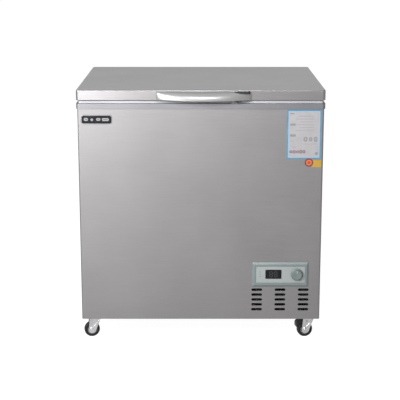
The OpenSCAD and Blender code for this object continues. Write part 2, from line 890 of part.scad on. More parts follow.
// Torsion springs that balance the lid; one leg rests on the cabinet leaf's plate
module hinge_springs() {
    turns = 4;
    steps = 12;
    coil_r = 5.7;
    wire_r = 1;
    length = spring_span[1] - spring_span[0] - 2 * wire_r - 1.2;
    color("#505050")
        for (s = [-1, 1]) {
            x0 = s * hinge_x + spring_span[0] + wire_r + 0.4;
            coil = [for (i = [0 : turns * steps]) let (a = -90 + 360 * i / steps)
                [x0 + length * i / (turns * steps), hinge_y + coil_r * cos(a), hinge_z + coil_r * sin(a)]];
            x1 = x0 + length;
            leg = [[x1, hinge_y - 5, hinge_z - 9], [x1, body_back + leaf_t + 6, z_leg + 14],
                [x1, body_back + leaf_t + wire_r + gap, z_leg]];
            sweep(concat(coil, leg), wire_r, 6);
        }
}
z_leg = rim_low - 36;

module hinge_lid_leaves() {
    z1 = total_h - 4;
    color("darkgray")
        for (s = [-1, 1])
            translate([s * hinge_x, 0, 0])
                difference() {
                    union() {
                        span([-34, back_y, lid_z + 3], [34, back_y + leaf_t, z1]);
                        rod_x((lid_knuckle[0] + lid_knuckle[1]) / 2, hinge_y, hinge_z, knuckle_r,
                            lid_knuckle[1] - lid_knuckle[0]);
                        translate([lid_knuckle[0], 0, 0])
                            rotate([90, 0, 90])
                                linear_extrude(lid_knuckle[1] - lid_knuckle[0])
                                    polygon([[back_y, lid_z + 3], [back_y + 4, lid_z - 3],
                                        [hinge_y - 3, hinge_z - 4], [hinge_y + knuckle_r, hinge_z],
                                        [back_y + leaf_t, lid_z + 16], [back_y, lid_z + 16]]);
                    }
                    rod_x(0, hinge_y, hinge_z, pin_r + run, 80);
                    for (dx = [-1, 1])
                        rod_y(dx * 24, back_y - cut, lid_z + 20, 2.1 + run, 6);
                }
}

// ---------------------------------------------------------------- lid

plug_in = 24;           // the lid's plug, in from the rim's lip
plug_low = rim_z - 6;
liner_z = lid_z;

// Steel cap with a folded hem along its lower edge
module lid_skin() {
    hem = 9;
    color("silver")
        difference() {
            block(lid_w, lid_d, rim_r, lid_z, lid_h);
            block(lid_w - 2 * skin_t, lid_d - 2 * skin_t, rim_r - skin_t, lid_z + skin_t,
                lid_h - 2 * skin_t);
            block(lid_w - 2 * hem, lid_d - 2 * hem, 3, lid_z - cut, 3);
            for (s = [-1, 1], dx = [-1, 1])
                rod_y(s * hinge_x + dx * 24, back_y - 3, lid_z + 20, 2.1 + run, 5);
            for (s = [-1, 1])
                rod_y(handle_x + s * screw_x, front_y - cut, screw_z, 2 + run, 5);
        }
}
screw_x = handle_w / 2 - 24;
screw_z = lid_z + 15;

module lid_liner() {
    y = (tub_front + tub_back) / 2;
    color("whitesmoke")
        difference() {
            union() {
                block(lid_w - 18 - 2 * gap, lid_d - 18 - 2 * gap, 3 - gap, lid_z - 2, 3.5);
                block(2 * tub_x - 2 * plug_in, tub_d - 2 * plug_in, 16, plug_low,
                    lid_z - 2 - plug_low + eps, y);
            }
            block(2 * tub_x - 2 * plug_in - 30, tub_d - 2 * plug_in - 30, 10, plug_low - cut,
                3 + cut, y);
            block(2 * tub_x - 2 * plug_in - 4, tub_d - 2 * plug_in - 4, 14, plug_low + 5.5, 30, y);
        }
}

module lid_foam() {
    y = (tub_front + tub_back) / 2;
    low = lid_z + 1.5 + gap;
    color("khaki")
        difference() {
            union() {
                block(lid_w - 2 * skin_t - 2 * gap, lid_d - 2 * skin_t - 2 * gap,
                    rim_r - skin_t - gap, low, lid_h - 3 - 2 * gap);
                block(2 * tub_x - 2 * plug_in - 4 - 2 * gap, tub_d - 2 * plug_in - 4 - 2 * gap,
                    14 - gap, plug_low + 5.5 + gap, low - plug_low - 5.5, y);
            }
            for (s = [-1, 1])
                rod_y(handle_x + s * screw_x, front_y, screw_z, 5, 6);
            for (s = [-1, 1], dx = [-1, 1])
                rod_y(s * hinge_x + dx * 24, back_y - 6, lid_z + 20, 3, 7);
        }
}

// Magnetic gasket: a frame with a hollow bellows section
module lid_gasket() {
    out = 7;
    band = 16;
    w = lid_w - 2 * out;
    d = lid_d - 2 * out;
    color("lightgray")
        difference() {
            block(w, d, 5, rim_z + gap, gasket_h - 2 - gap);
            block(w - 2 * band, d - 2 * band, 3, rim_z - cut, gasket_h + 2 * cut);
            difference() {
                block(w - 4, d - 4, 4, rim_z + gap + 2, gasket_h - 6 - gap);
                block(w - 2 * band + 4, d - 2 * band + 4, 4, rim_z - cut, gasket_h + 2 * cut);
            }
        }
}

// Hooded pull handle. Its nose bows out and its edge droops towards the middle; t runs from -1 to 1.
hood_wall = 3;
hood_top = lid_z + 31;
function nose(t) = 7 + (handle_reach - 7) * pow(max(1 - t * t, 0), 0.75);
function edge(t) = lid_z + 3.5 - 2 * pow(max(1 - t * t, 0), 1.2);
// Section of the hood at t, as [distance out of the lid, height]
function hood(t) = let (r = nose(t), b = edge(t), w = hood_wall)
    [[0, hood_top], [r * 0.28, hood_top - 0.8], [r * 0.5, hood_top - 2.4], [r * 0.7, hood_top - 5.8],
     [r * 0.85, hood_top - 11.5], [r * 0.95, hood_top - 19], [r, b + 2.2], [r * 0.985, b],
     [r * 0.985 - w, b + 0.5], [r * 0.95 - w, hood_top - 20], [r * 0.85 - w, hood_top - 14],
     [r * 0.68 - w * 0.7, hood_top - 9.5], [r * 0.25, hood_top - w - 2.5], [0, hood_top - w - 2]];

module lid_handle() {
    stations = 40;
    n = len(hood(0));
    points = [for (i = [0 : stations]) let (t = -1 + 2 * i / stations)
        each [for (p = hood(t)) [handle_x + t * handle_w / 2, front_y - p[0], p[1]]]];
    walls = [for (i = [0 : stations - 1], k = [0 : n - 1])
        [i * n + k, (i + 1) * n + k, (i + 1) * n + (k + 1) % n, i * n + (k + 1) % n]];
    first = [for (k = [0 : n - 1]) k];
    last = [for (k = [n - 1 : -1 : 0]) stations * n + k];
    color("gainsboro") {
        difference() {
            polyhedron(points, concat([first], walls, [last]), convexity = 12);
            translate([(lock_x + lock_end) / 2, front_y - lock_mid, lock_low - gap])
                linear_extrude(30)
                    rounded(lock_end - lock_x + lock_w + 2 * gap, lock_w + 2 * gap, 6);
            span([lock_x - lock_r - 1, front_y - lock_mid - lock_r - 1, lid_z],
                [lock_x + lock_r + 1, front_y - lock_mid + lock_r + 1, lock_low]);
        }
        // ribs that the screws go into, inside each end
        for (s = [-1, 1])
            difference() {
                span([handle_x + s * screw_x - 7, front_y - 12.5, lid_z + 8],
                    [handle_x + s * screw_x + 7, front_y, lid_z + 19]);
                rod_y(handle_x + s * screw_x, front_y - 8, screw_z, 2 + run, 10);
            }
    }
}

// Lock: the cylinder's axis, the far end of its housing, and the housing's width and foot
lock_x = handle_x + handle_w / 2 - 48;
lock_end = handle_x + handle_w / 2 - 9;
lock_w = 13;
lock_mid = 9.5;
lock_low = hood_top - 7;
lock_top = hood_top + 1;
lock_r = 4;
tongue_t = 2.2;

// Screws of the handle, from inside the lid, and of the lid's hinge leaves
module lid_screws() {
    color("silver")
        for (s = [-1, 1]) {
            rod_y(handle_x + s * screw_x, front_y - 7, screw_z, 2, 7 + skin_t + 1);
            rod_y(handle_x + s * screw_x, front_y + skin_t, screw_z, 4, 0.7);
            for (dx = [-1, 1]) {
                rod_y(s * hinge_x + dx * 24, back_y - 4, lid_z + 20, 2.1, 4 + leaf_t + 1);
                rod_y(s * hinge_x + dx * 24, back_y + leaf_t, lid_z + 20, 4, 2);
            }
        }
}

// Key lock's housing, let into the top of the hood's right end
module lock_housing() {
    color("black")
        difference() {
            translate([(lock_x + lock_end) / 2, front_y - lock_mid, lock_low])
                linear_extrude(lock_top - lock_low)
                    rounded(lock_end - lock_x + lock_w, lock_w, 6);
            translate([lock_x, front_y - lock_mid, 0])
                cylinder(r = lock_r + run, h = 2 * total_h);
        }
}

// Cylinder with a keyed cap, and the tongue at its foot
module lock_cylinder() {
    foot = rim_z + 4;
    color("silver")
        translate([lock_x, front_y - lock_mid, 0])
            difference() {
                union() {
                    translate([0, 0, foot])
                        cylinder(r = lock_r, h = lock_top + 1 - foot);
                    translate([0, 0, lock_top + gap])
                        cylinder(r = 6.2, h = 1.6);
                    span([-lock_r, -3.5, foot], [lock_mid + 3.3, 3.5, foot + tongue_t]);
                }
                span([-2.6, -0.6, lock_top - 2], [2.6, 0.6, lock_top + 4]);
            }
}

// ---------------------------------------------------------------- basket

basket_w = 226;
basket_h = 176;
basket_x = tub_x - 11.5 - basket_w / 2;
basket_d = tub_d - 23;

// Wire of six sides from one point to the other
module wire(a, b, r) {
    v = b - a;
    translate(a)
        rotate([0, acos(v[2] / norm(v)), atan2(v[1], v[0])])
            cylinder(r = r, h = norm(v), $fn = 6);
}

// Welded wire basket that hangs from the rim's ledge by its two end rails
module wire_basket() {
    y = (tub_front + tub_back) / 2;
    top = ledge_z + 2.9;
    low = top - basket_h;
    x0 = -basket_w / 2;
    x1 = basket_w / 2;
    y0 = -basket_d / 2;
    y1 = basket_d / 2;
    in = 6;
    hook = 15;
    color("white")
        translate([basket_x, y, 0]) {
            for (x = [x0, x1])
                wire([x, y0, top - 12], [x, y1, top - 12], 2.5);
            for (e = [-1, 1]) {
                wire([x0, e * y1, top - 12], [x1, e * y1, top - 12], 2.5);
                wire([x0 + 8, e * (y1 + hook), top], [x1 - 8, e * (y1 + hook), top], 2.5);
                for (x = [x0 + 20, 0, x1 - 20]) {
                    wire([x, e * y1, top - 12], [x, e * y1, top + 0.2], 2);
                    wire([x, e * (y1 - 2), top], [x, e * (y1 + hook), top], 2);
                }
            }
            for (i = [0 : 4]) let (x = x0 + in + i * (basket_w - 2 * in) / 4) {
                wire([x, y0 + in, low], [x, y1 - in, low], 1.5);
                for (e = [-1, 1])
                    wire([x, e * (y1 - in), low], [x, e * y1, top - 12], 1.5);
            }
            for (i = [0 : 8]) let (yy = y0 + in + i * (basket_d - 2 * in) / 8) {
                wire([x0 + in, yy, low + 1.5], [x1 - in, yy, low + 1.5], 1.5);
                wire([x0 + in, yy, low], [x0, yy, top - 12], 1.5);
                wire([x1 - in, yy, low], [x1, yy, top - 12], 1.5);
            }
            for (z = [low + 56, low + 112]) let (k = in * (1 - (z - low) / (basket_h - 12))) {
                for (x = [x0 + k, x1 - k])
                    wire([x, y0 + k, z], [x, y1 - k, z], 1.5);
                for (yy = [y0 + k, y1 - k])
                    wire([x0 + k, yy, z], [x1 - k, yy, z], 1.5);
            }
        }
}

// ---------------------------------------------------------------- casters

module caster_plates() {
    color("silver")
        for (tag = ["fl", "fr", "rl", "rr"])
            translate([corner(tag)[0], corner(tag)[1], 0]) {
                difference() {
                    translate([0, 0, pan_z - plate_t])
                        linear_extrude(plate_t)
                            rounded(plate_s, plate_s, 5);
                    for (sx = [-1, 1], sy = [-1, 1])
                        translate([sx * bolt_pitch / 2, sy * bolt_pitch / 2, 0])
                            cylinder(r = 3 + run, h = 200);
                }
                translate([0, 0, web_z - 3])
                    cylinder(r = king_r, h = pan_z - plate_t - web_z + 3 + eps);
                translate([0, 0, web_z - 4.5])
                    cylinder(r = 7, h = 4);
            }
}

module caster_bolts() {
    color("silver")
        for (tag = ["fl", "fr", "rl", "rr"], sx = [-1, 1], sy = [-1, 1])
            translate([corner(tag)[0] + sx * bolt_pitch / 2, corner(tag)[1] + sy * bolt_pitch / 2, 0]) {
                translate([0, 0, pan_z - plate_t - 4])
                    hex(10, 4);
                translate([0, 0, pan_z - plate_t - eps])
                    cylinder(r = 3, h = 13);
                translate([0, 0, pan_z + pan_t])
                    hex(10, 5);
            }
}

// Outline of a fork leg: a round foot round the axle, widening to the web
web_x = [-18, 22];
foot_r = 13;
function leg_outline() = concat(
    [[web_x[1], web_z + fork_t], [web_x[0], web_z + fork_t]],
    [for (a = [175 : 13 : 357]) [-trail + foot_r * cos(a), wheel_d / 2 + foot_r * sin(a)]]
);

// Puts a caster's own frame at its corner, turned as it stands
module at_corner(tag) {
    c = corner(tag);
    translate([c[0], c[1], 0])
        rotate([0, 0, c[2]])
            children();
}

// Swivel head, web and two legs, with the axle's holes; a braked fork also carries the pedal's pin
module caster_fork(braked) {
    width = 2 * (fork_gap + fork_t);
    color("lightgray")
        difference() {
            union() {
                translate([0, 0, web_z + fork_t - eps])
                    cylinder(r = head_r, h = pan_z - plate_t - gap - web_z - fork_t);
                translate([web_x[0], -width / 2, web_z])
                    cube([web_x[1] - web_x[0], width, fork_t]);
                for (s = [-1, 1])
                    translate([0, s * (fork_gap + fork_t / 2) + fork_t / 2, 0])
                        rotate([90, 0, 0])
                            linear_extrude(fork_t)
                                polygon(leg_outline());
            }
            translate([0, 0, 0])
                cylinder(r = king_r + run, h = 200);
            rod_y(-trail, -50, wheel_d / 2, axle_r + run, 100);
            if (braked)
                rod_y(pedal_pin[0], -50, pedal_pin[1], 2 + run, 100);
        }
}

// Rubber tyre with rounded shoulders on a dished hub
module caster_wheel() {
    r = wheel_d / 2;
    h = wheel_w / 2;
    color("#151515")
        translate([-trail, 0, r])
            rotate([90, 0, 0])
                rotate_extrude($fn = 72)
                    polygon([[axle_r + run, -h], [8, -h], [8, -h + 5], [17, -h + 5], [17, -h + 0.5],
                        [r - 4, -h + 0.5], [r - 1.2, -h + 2], [r, -h + 5], [r, h - 5],
                        [r - 1.2, h - 2], [r - 4, h - 0.5], [17, h - 0.5], [17, h - 5], [8, h - 5],
                        [8, h], [axle_r + run, h]]);
}

module caster_axle() {
    reach = fork_gap + fork_t;
    color("silver")
        translate([-trail, 0, wheel_d / 2])
            rotate([90, 0, 0]) {
                translate([0, 0, -reach - 4])
                    cylinder(r = axle_r, h = 2 * reach + 6);
                translate([0, 0, reach])
                    hex(10, 3.5);
                translate([0, 0, -reach - 5])
                    hex(10, 5);
            }
}

// Foot pedal that hugs the wheel's back; its pin turns in the fork
module brake_pedal() {
    half = fork_gap - 0.6;
    x = pedal_pin[0];
    z = pedal_pin[1];
    shoe_r = wheel_d / 2 + 3;
    inner = [for (a = [160 : -12.4 : 98]) [-trail + shoe_r * cos(a), wheel_d / 2 + shoe_r * sin(a)]];
    outer = [[x + 3, z - 3], [x + 3, z + 2], [x - 10, z + 3], [x - 28, z + 3],
        [x - 36, z], [x - 38.5, z - 6], [x - 38.5, z - 17], [x - 37, z - 21]];
    color("#101010") {
        rod_y(x, -fork_gap - fork_t - 0.8, z, 2, 2 * (fork_gap + fork_t + 0.8));
        translate([0, half, 0])
            rotate([90, 0, 0])
                linear_extrude(2 * half)
                    polygon(concat(outer, inner));
    }
}

// ---------------------------------------------------------------- drawing

wrapper();
back_panel();
base_pan();
bulkhead();
tub_liner();
body_foam();
top_rim();
evaporator_coil();
badge_plate();
front_labels();
control_bezel();
control_fascia();
display_window();
display_board();
thermostat();
temp_knob();
compressor_shell();
compressor_base();
compressor_grommets();
terminal_cover();
condenser();
fan_shroud();
fan_motor();
fan_blade();
filter_drier();
refrigerant_pipes();
rear_grille();
panel_screws();
cord_gland();
drain_spout();
drain_plug();
hinge_cabinet_leaves();
hinge_pins();
hinge_springs();
caster_plates();
caster_bolts();
lid_skin();
lid_liner();
lid_foam();
lid_gasket();
lid_handle();
lid_screws();
hinge_lid_leaves();
lock_housing();
lock_cylinder();
wire_basket();
at_corner("fl") caster_fork(braked = false);  // caster_fork_fl
at_corner("fr") caster_fork(braked = true);  // caster_fork_fr
at_corner("rl") caster_fork(braked = true);  // caster_fork_rl
at_corner("rr") caster_fork(braked = false);  // caster_fork_rr
at_corner("fl") caster_wheel();  // caster_wheel_fl
at_corner("fr") caster_wheel();  // caster_wheel_fr
at_corner("rl") caster_wheel();  // caster_wheel_rl
at_corner("rr") caster_wheel();  // caster_wheel_rr
at_corner("fl") caster_axle();  // caster_axle_fl
at_corner("fr") caster_axle();  // caster_axle_fr
at_corner("rl") caster_axle();  // caster_axle_rl
at_corner("rr") caster_axle();  // caster_axle_rr
at_corner("fr") brake_pedal();  // brake_pedal_fr
at_corner("rl") brake_pedal();  // brake_pedal_rl
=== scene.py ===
import json
import math

import bmesh
import bpy
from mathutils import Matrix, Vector


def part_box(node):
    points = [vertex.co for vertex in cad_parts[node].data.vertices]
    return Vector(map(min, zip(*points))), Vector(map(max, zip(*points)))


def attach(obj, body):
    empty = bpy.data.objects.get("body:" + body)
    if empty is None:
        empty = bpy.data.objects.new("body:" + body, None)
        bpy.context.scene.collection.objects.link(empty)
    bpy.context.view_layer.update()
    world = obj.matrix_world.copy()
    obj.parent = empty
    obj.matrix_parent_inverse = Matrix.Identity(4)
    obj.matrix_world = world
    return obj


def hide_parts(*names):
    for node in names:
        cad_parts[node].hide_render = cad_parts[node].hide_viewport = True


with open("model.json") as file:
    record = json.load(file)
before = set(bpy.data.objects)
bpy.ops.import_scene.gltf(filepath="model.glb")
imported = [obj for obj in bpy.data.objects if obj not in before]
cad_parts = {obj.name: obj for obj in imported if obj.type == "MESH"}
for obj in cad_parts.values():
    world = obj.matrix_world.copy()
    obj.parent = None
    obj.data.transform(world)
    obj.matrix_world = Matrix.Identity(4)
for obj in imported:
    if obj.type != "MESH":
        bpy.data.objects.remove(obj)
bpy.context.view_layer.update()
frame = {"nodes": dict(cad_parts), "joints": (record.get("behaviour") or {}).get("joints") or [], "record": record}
MM = 0.001
CORNERS = ("fl", "fr", "rl", "rr")

# ---------------------------------------------------------------- places

lid_low, lid_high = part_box("lid_skin")
rim_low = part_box("top_rim")[0]
MID_Y = (lid_low.y + lid_high.y) / 2
LID_W = lid_high.x - lid_low.x
LID_D = lid_high.y - lid_low.y
BODY_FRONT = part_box("wrapper")[0].y

# ---------------------------------------------------------------- camera

CAMERA_X = -2.5 * MM
CAMERA_DISTANCE = 3.7
CAMERA_HEIGHT = 1.4102
CAMERA_PITCH = 12.71
CAMERA_LENS = 101.3
CAMERA_SHIFT = 0.05


def make_camera():
    data = bpy.data.cameras.new("camera")
    data.sensor_width = 36
    data.lens = CAMERA_LENS
    data.shift_y = -CAMERA_SHIFT
    data.clip_start = 0.1
    data.clip_end = 300
    camera = bpy.data.objects.new("camera", data)
    camera.location = (CAMERA_X, lid_low.y - CAMERA_DISTANCE, CAMERA_HEIGHT)
    camera.rotation_euler = (math.radians(90 - CAMERA_PITCH), 0, 0)
    bpy.context.scene.collection.objects.link(camera)
    bpy.context.scene.camera = camera


make_camera()

# ---------------------------------------------------------------- materials


def scaled(color, k):
    return tuple(min(c * k, 1) for c in color) + (1,)


def surface(
    name,
    color,
    rough,
    metal=0.0,
    grain=900,
    stretch=(1, 1, 1),
    tone=0.06,
    mottle=0.05,
    mottle_scale=7,
    wear=0.06,
    bump=0.15,
    depth=0.15,
    pattern="noise",
    coat=0.0,
    spec=0.5,
):
    """Principled surface: fine grain and broad mottling in colour and roughness, grain in bump.
    grain and mottle_scale are per metre, depth is in millimetres."""
    made = bpy.data.materials.new(name)
    made.use_nodes = True
    nodes, links = made.node_tree.nodes, made.node_tree.links
    shader = nodes["Principled BSDF"]
    shader.inputs["Metallic"].default_value = metal
    shader.inputs["Coat Weight"].default_value = coat
    shader.inputs["Coat Roughness"].default_value = 0.12
    shader.inputs["Specular IOR Level"].default_value = spec
    where = nodes.new("ShaderNodeTexCoord")
    mapping = nodes.new("ShaderNodeMapping")
    mapping.inputs["Scale"].default_value = stretch
    links.new(where.outputs["Object"], mapping.inputs["Vector"])
    if pattern == "noise":
        fine = nodes.new("ShaderNodeTexNoise")
        fine.inputs["Detail"].default_value = 3
        fine_out = fine.outputs["Fac"]
    else:
        fine = nodes.new("ShaderNodeTexVoronoi")
        fine.feature = "SMOOTH_F1" if pattern == "cells" else "F1"
        fine_out = fine.outputs["Color" if pattern == "spangle" else "Distance"]
    fine.inputs["Scale"].default_value = grain
    links.new(mapping.outputs["Vector"], fine.inputs["Vector"])
    broad = nodes.new("ShaderNodeTexNoise")
    broad.inputs["Scale"].default_value = mottle_scale
    broad.inputs["Detail"].default_value = 4
    links.new(where.outputs["Object"], broad.inputs["Vector"])
    grains = nodes.new("ShaderNodeValToRGB")
    grains.color_ramp.elements[0].position = 0.3
    grains.color_ramp.elements[1].position = 0.7
    grains.color_ramp.elements[0].color = scaled(color, 1 - tone)
    grains.color_ramp.elements[1].color = scaled(color, 1 + tone)
    links.new(fine_out, grains.inputs["Fac"])
    patches = nodes.new("ShaderNodeMapRange")
    patches.inputs["From Min"].default_value = 0.3
    patches.inputs["From Max"].default_value = 0.7
    patches.inputs["To Min"].default_value = 1 - mottle
    patches.inputs["To Max"].default_value = 1 + mottle
    links.new(broad.outputs["Fac"], patches.inputs["Value"])
    tint = nodes.new("ShaderNodeVectorMath")
    tint.operation = "SCALE"
    links.new(grains.outputs["Color"], tint.inputs[0])
    links.new(patches.outputs["Result"], tint.inputs["Scale"])
    links.new(tint.outputs["Vector"], shader.inputs["Base Color"])
    blend = nodes.new("ShaderNodeMath")
    blend.operation = "ADD"
    links.new(fine_out, blend.inputs[0])
    links.new(broad.outputs["Fac"], blend.inputs[1])
    dull = nodes.new("ShaderNodeMapRange")
    dull.inputs["From Min"].default_value = 0.5
    dull.inputs["From Max"].default_value = 1.5
    dull.inputs["To Min"].default_value = max(rough - wear, 0.03)
    dull.inputs["To Max"].default_value = rough + wear
    links.new(blend.outputs["Value"], dull.inputs["Value"])
    links.new(dull.outputs["Result"], shader.inputs["Roughness"])
    relief = nodes.new("ShaderNodeBump")
    relief.inputs["Strength"].default_value = bump
    relief.inputs["Distance"].default_value = depth * MM
    links.new(fine_out, relief.inputs["Height"])
    links.new(relief.outputs["Normal"], shader.inputs["Normal"])
    return made


STREAK = (0.012, 1, 1)
steel = surface(
    "brushed_steel", (0.151, 0.1465, 0.149), 0.47, 1.0, 1500, STREAK, tone=0.05, mottle=0.025,
    mottle_scale=5, wear=0.05, bump=0.10, depth=0.05,
)
# Glossier copy of the brushed steel for the lid. Its lighter base colour is a painted highlight that makes the
# lid's face read brighter than the cabinet's.
lid_steel_painted_highlight = surface(
    "lid_steel_painted_highlight", (0.176, 0.1695, 0.173), 0.37, 1.0, 1500, STREAK, tone=0.05, mottle=0.025,
    mottle_scale=5, wear=0.05, bump=0.10, depth=0.05,
)
rim_grey = surface(
    "rim_grey", (0.12, 0.12, 0.127), 0.46, 0.92, 1400, tone=0.08, bump=0.25, depth=0.1,
)
silver_paint = surface(
    "silver_paint", (0.105, 0.105, 0.104), 0.33, 0.35, 2600, tone=0.10, wear=0.04, bump=0.05,
    depth=0.03, coat=0.1,
)
gasket_grey = surface(
    "gasket_grey", (0.25, 0.25, 0.265), 0.5, 0.5, 700, tone=0.05, bump=0.15, depth=0.1,
)
black_plastic = surface(
    "black_plastic", (0.006, 0.006, 0.0065), 0.45, 0.0, 1600, tone=0.2, bump=0.3, depth=0.12,
    spec=0.2,
)
gloss_black = surface(
    "gloss_black", (0.003, 0.003, 0.0035), 0.16, 0.0, 500, tone=0.15, wear=0.04, bump=0.02,
    depth=0.03, spec=0.12,
)
badge_black = surface(
    "badge_black", (0.004, 0.004, 0.005), 0.40, 0.0, 900, tone=0.15, bump=0.06, depth=0.05,
    spec=0.08,
)
chrome = surface(
    "chrome", (0.62, 0.62, 0.62), 0.12, 1.0, 900, (0.1, 1, 1), tone=0.03, mottle=0.03,
    mottle_scale=30, wear=0.05, bump=0.04, depth=0.02,
)
panel_green = surface(
    "panel_green", (0.058, 0.073, 0.072), 0.40, 0.0, 1500, tone=0.06, bump=0.25, depth=0.1,
)
plate_green = surface(
    "plate_green", (0.115, 0.125, 0.126), 0.38, 0.0, 1800, tone=0.04, bump=0.12, depth=0.05,
)
knob_green = surface(
    "knob_green", (0.055, 0.070, 0.067), 0.50, 0.0, 1500, tone=0.06, bump=0.2, depth=0.08, spec=0.3,
)
digit_grey = surface(
    "digit_grey", (0.012, 0.012, 0.013), 0.25, 0.0, 900, tone=0.1, bump=0.05, depth=0.03,
)
mark_silver = surface(
    "mark_silver", (0.12, 0.12, 0.118), 0.35, 0.6, 900, tone=0.06, bump=0.05, depth=0.03,
)
mark_pale = surface(
    "mark_pale", (0.16, 0.18, 0.175), 0.5, 0.0, 1200, tone=0.04, bump=0.05, depth=0.03,
)
mark_dark = surface(
    "mark_dark", (0.05, 0.06, 0.06), 0.5, 0.0, 1200, tone=0.1, bump=0.05, depth=0.03,
)
label_blue = surface(
    "label_blue", (0.038, 0.072, 0.10), 0.45, 0.0, 500, tone=0.10, mottle=0.12, mottle_scale=25,
    bump=0.08,
)
label_pale = surface("label_pale", (0.09, 0.145, 0.195), 0.45, 0.0, 500, tone=0.05, bump=0.08)
label_paper = surface(
    "label_paper", (0.125, 0.122, 0.126), 0.5, 0.0, 800, tone=0.05, mottle=0.06, mottle_scale=30,
    bump=0.08,
)
label_ink = surface("label_ink", (0.07, 0.073, 0.077), 0.5, 0.0, 800, tone=0.1, bump=0.05)
label_faint = surface("label_faint", (0.105, 0.103, 0.107), 0.5, 0.0, 800, tone=0.1, bump=0.05)
label_plum = surface("label_plum", (0.06, 0.035, 0.047), 0.5, 0.0, 800, tone=0.1, bump=0.05)
sticker_red = surface("sticker_red", (0.055, 0.004, 0.007), 0.4, 0.0, 600, tone=0.08, bump=0.05)
sticker_orange = surface("sticker_orange", (0.21, 0.05, 0.007), 0.4, 0.0, 600, tone=0.06, bump=0.05)
sticker_core = surface("sticker_core", (0.15, 0.008, 0.003), 0.4, 0.0, 600, tone=0.06, bump=0.05)
sticker_yellow = surface(
    "sticker_yellow", (0.15, 0.088, 0.003), 0.42, 0.0, 600, tone=0.06, mottle=0.1, mottle_scale=40,
    bump=0.05,
)
zinc = surface(
    "zinc", (0.37, 0.37, 0.375), 0.36, 1.0, 260, tone=0.08, mottle=0.08, mottle_scale=40, wear=0.08,
    bump=0.08, depth=0.05,
)
galvanised = surface(
    "galvanised", (0.36, 0.37, 0.38), 0.42, 0.85, 130, tone=0.14, pattern="spangle", mottle=0.08,
    bump=0.03, depth=0.05,
)
painted_grey = surface(
    "painted_grey", (0.36, 0.365, 0.37), 0.42, 0.0, 420, tone=0.04, bump=0.12, depth=0.08,
)
black_paint = surface(
    "black_paint", (0.012, 0.012, 0.013), 0.28, 0.0, 380, tone=0.2, bump=0.12, depth=0.1, coat=0.3,
)
black_metal = surface(
    "black_metal", (0.022, 0.022, 0.023), 0.5, 0.3, 500, tone=0.2, bump=0.12, depth=0.1,
)
stucco = surface(
    "stucco_aluminium", (0.66, 0.67, 0.68), 0.30, 0.9, 190, tone=0.04, pattern="cells", mottle=0.04,
    bump=0.55, depth=0.7,
)
white_liner = surface(
    "white_liner", (0.36, 0.36, 0.355), 0.28, 0.0, 260, tone=0.02, mottle=0.03, bump=0.10,
    depth=0.12,
)
white_plastic = surface(
    "white_plastic", (0.60, 0.60, 0.58), 0.38, 0.0, 700, tone=0.03, bump=0.12, depth=0.08,
)
white_coat = surface(
    "white_coat", (0.72, 0.72, 0.71), 0.30, 0.0, 500, tone=0.03, bump=0.15, depth=0.15, coat=0.3,
)
foam = surface(
    "foam", (0.66, 0.52, 0.20), 0.85, 0.0, 650, tone=0.18, mottle=0.12, mottle_scale=12, bump=0.8,
    depth=0.8,
)
copper = surface(
    "copper", (0.26, 0.12, 0.07), 0.42, 1.0, 300, tone=0.12, mottle=0.2, mottle_scale=25, wear=0.12,
    bump=0.05,
)
board_green = surface(
    "board_green", (0.02, 0.12, 0.05), 0.4, 0.0, 350, tone=0.35, pattern="cells", bump=0.15,
    depth=0.1,
)
rubber = surface(
    "rubber", (0.016, 0.016, 0.017), 0.62, 0.0, 1100, tone=0.25, mottle=0.15, mottle_scale=30,
    bump=0.35, depth=0.15,
)
tyre = surface(
    "tyre", (0.004, 0.004, 0.0045), 0.55, 0.0, 900, tone=0.3, mottle=0.25, mottle_scale=50,
    bump=0.3, depth=0.15, spec=0.15,
)
hub_grey = surface("hub_grey", (0.10, 0.105, 0.11), 0.42, 0.0, 900, tone=0.06, bump=0.15, depth=0.1)
hinge_grey = surface(
    "hinge_grey", (0.20, 0.205, 0.215), 0.40, 0.35, 500, tone=0.08, wear=0.1, bump=0.12, depth=0.08,
)
spring_steel = surface(
    "spring_steel", (0.10, 0.10, 0.105), 0.32, 1.0, 500, tone=0.15, wear=0.1, bump=0.08,
)

# ---------------------------------------------------------------- building


def loft(bm, rings, start=True, end=True, closed=False, slot=0):
    """Skin over rings of equally many points, capped or joined into a loop."""
    rows = [[bm.verts.new(p) for p in ring] for ring in rings]
    count = len(rows[0])
    pairs = list(zip(rows, rows[1:]))
    if closed:
        pairs.append((rows[-1], rows[0]))
    faces = []
    for a, b in pairs:
        for k in range(count):
            n = (k + 1) % count
            faces.append(bm.faces.new((a[k], a[n], b[n], b[k])))
    if not closed and start:
        faces.append(bm.faces.new(rows[0][::-1]))
    if not closed and end:
        faces.append(bm.faces.new(rows[-1]))
    for face in faces:
        face.material_index = slot


def outline(w, d, r, n=8):
    """Points of a round-cornered rectangle, centred on 0."""
    points = []
    for quarter, (sx, sy) in enumerate(((1, 1), (-1, 1), (-1, -1), (1, -1))):
        for k in range(n + 1):
            a = math.radians(90 * quarter + 90 * k / n)
            points.append((sx * (w / 2 - r) + r * math.cos(a), sy * (d / 2 - r) + r * math.sin(a)))
    return points


def plan(w, d, r, z, y=None, n=8):
    """Horizontal ring at height z."""
    middle = MID_Y if y is None else y
    return [(px, middle + py, z) for px, py in outline(w, d, r, n)]


def upright(x, z, w, h, r, y, n=8):
    """Ring in a plane facing the front, at depth y."""
    return [(x + px, y, z + pz) for px, pz in outline(w, h, r, n)]


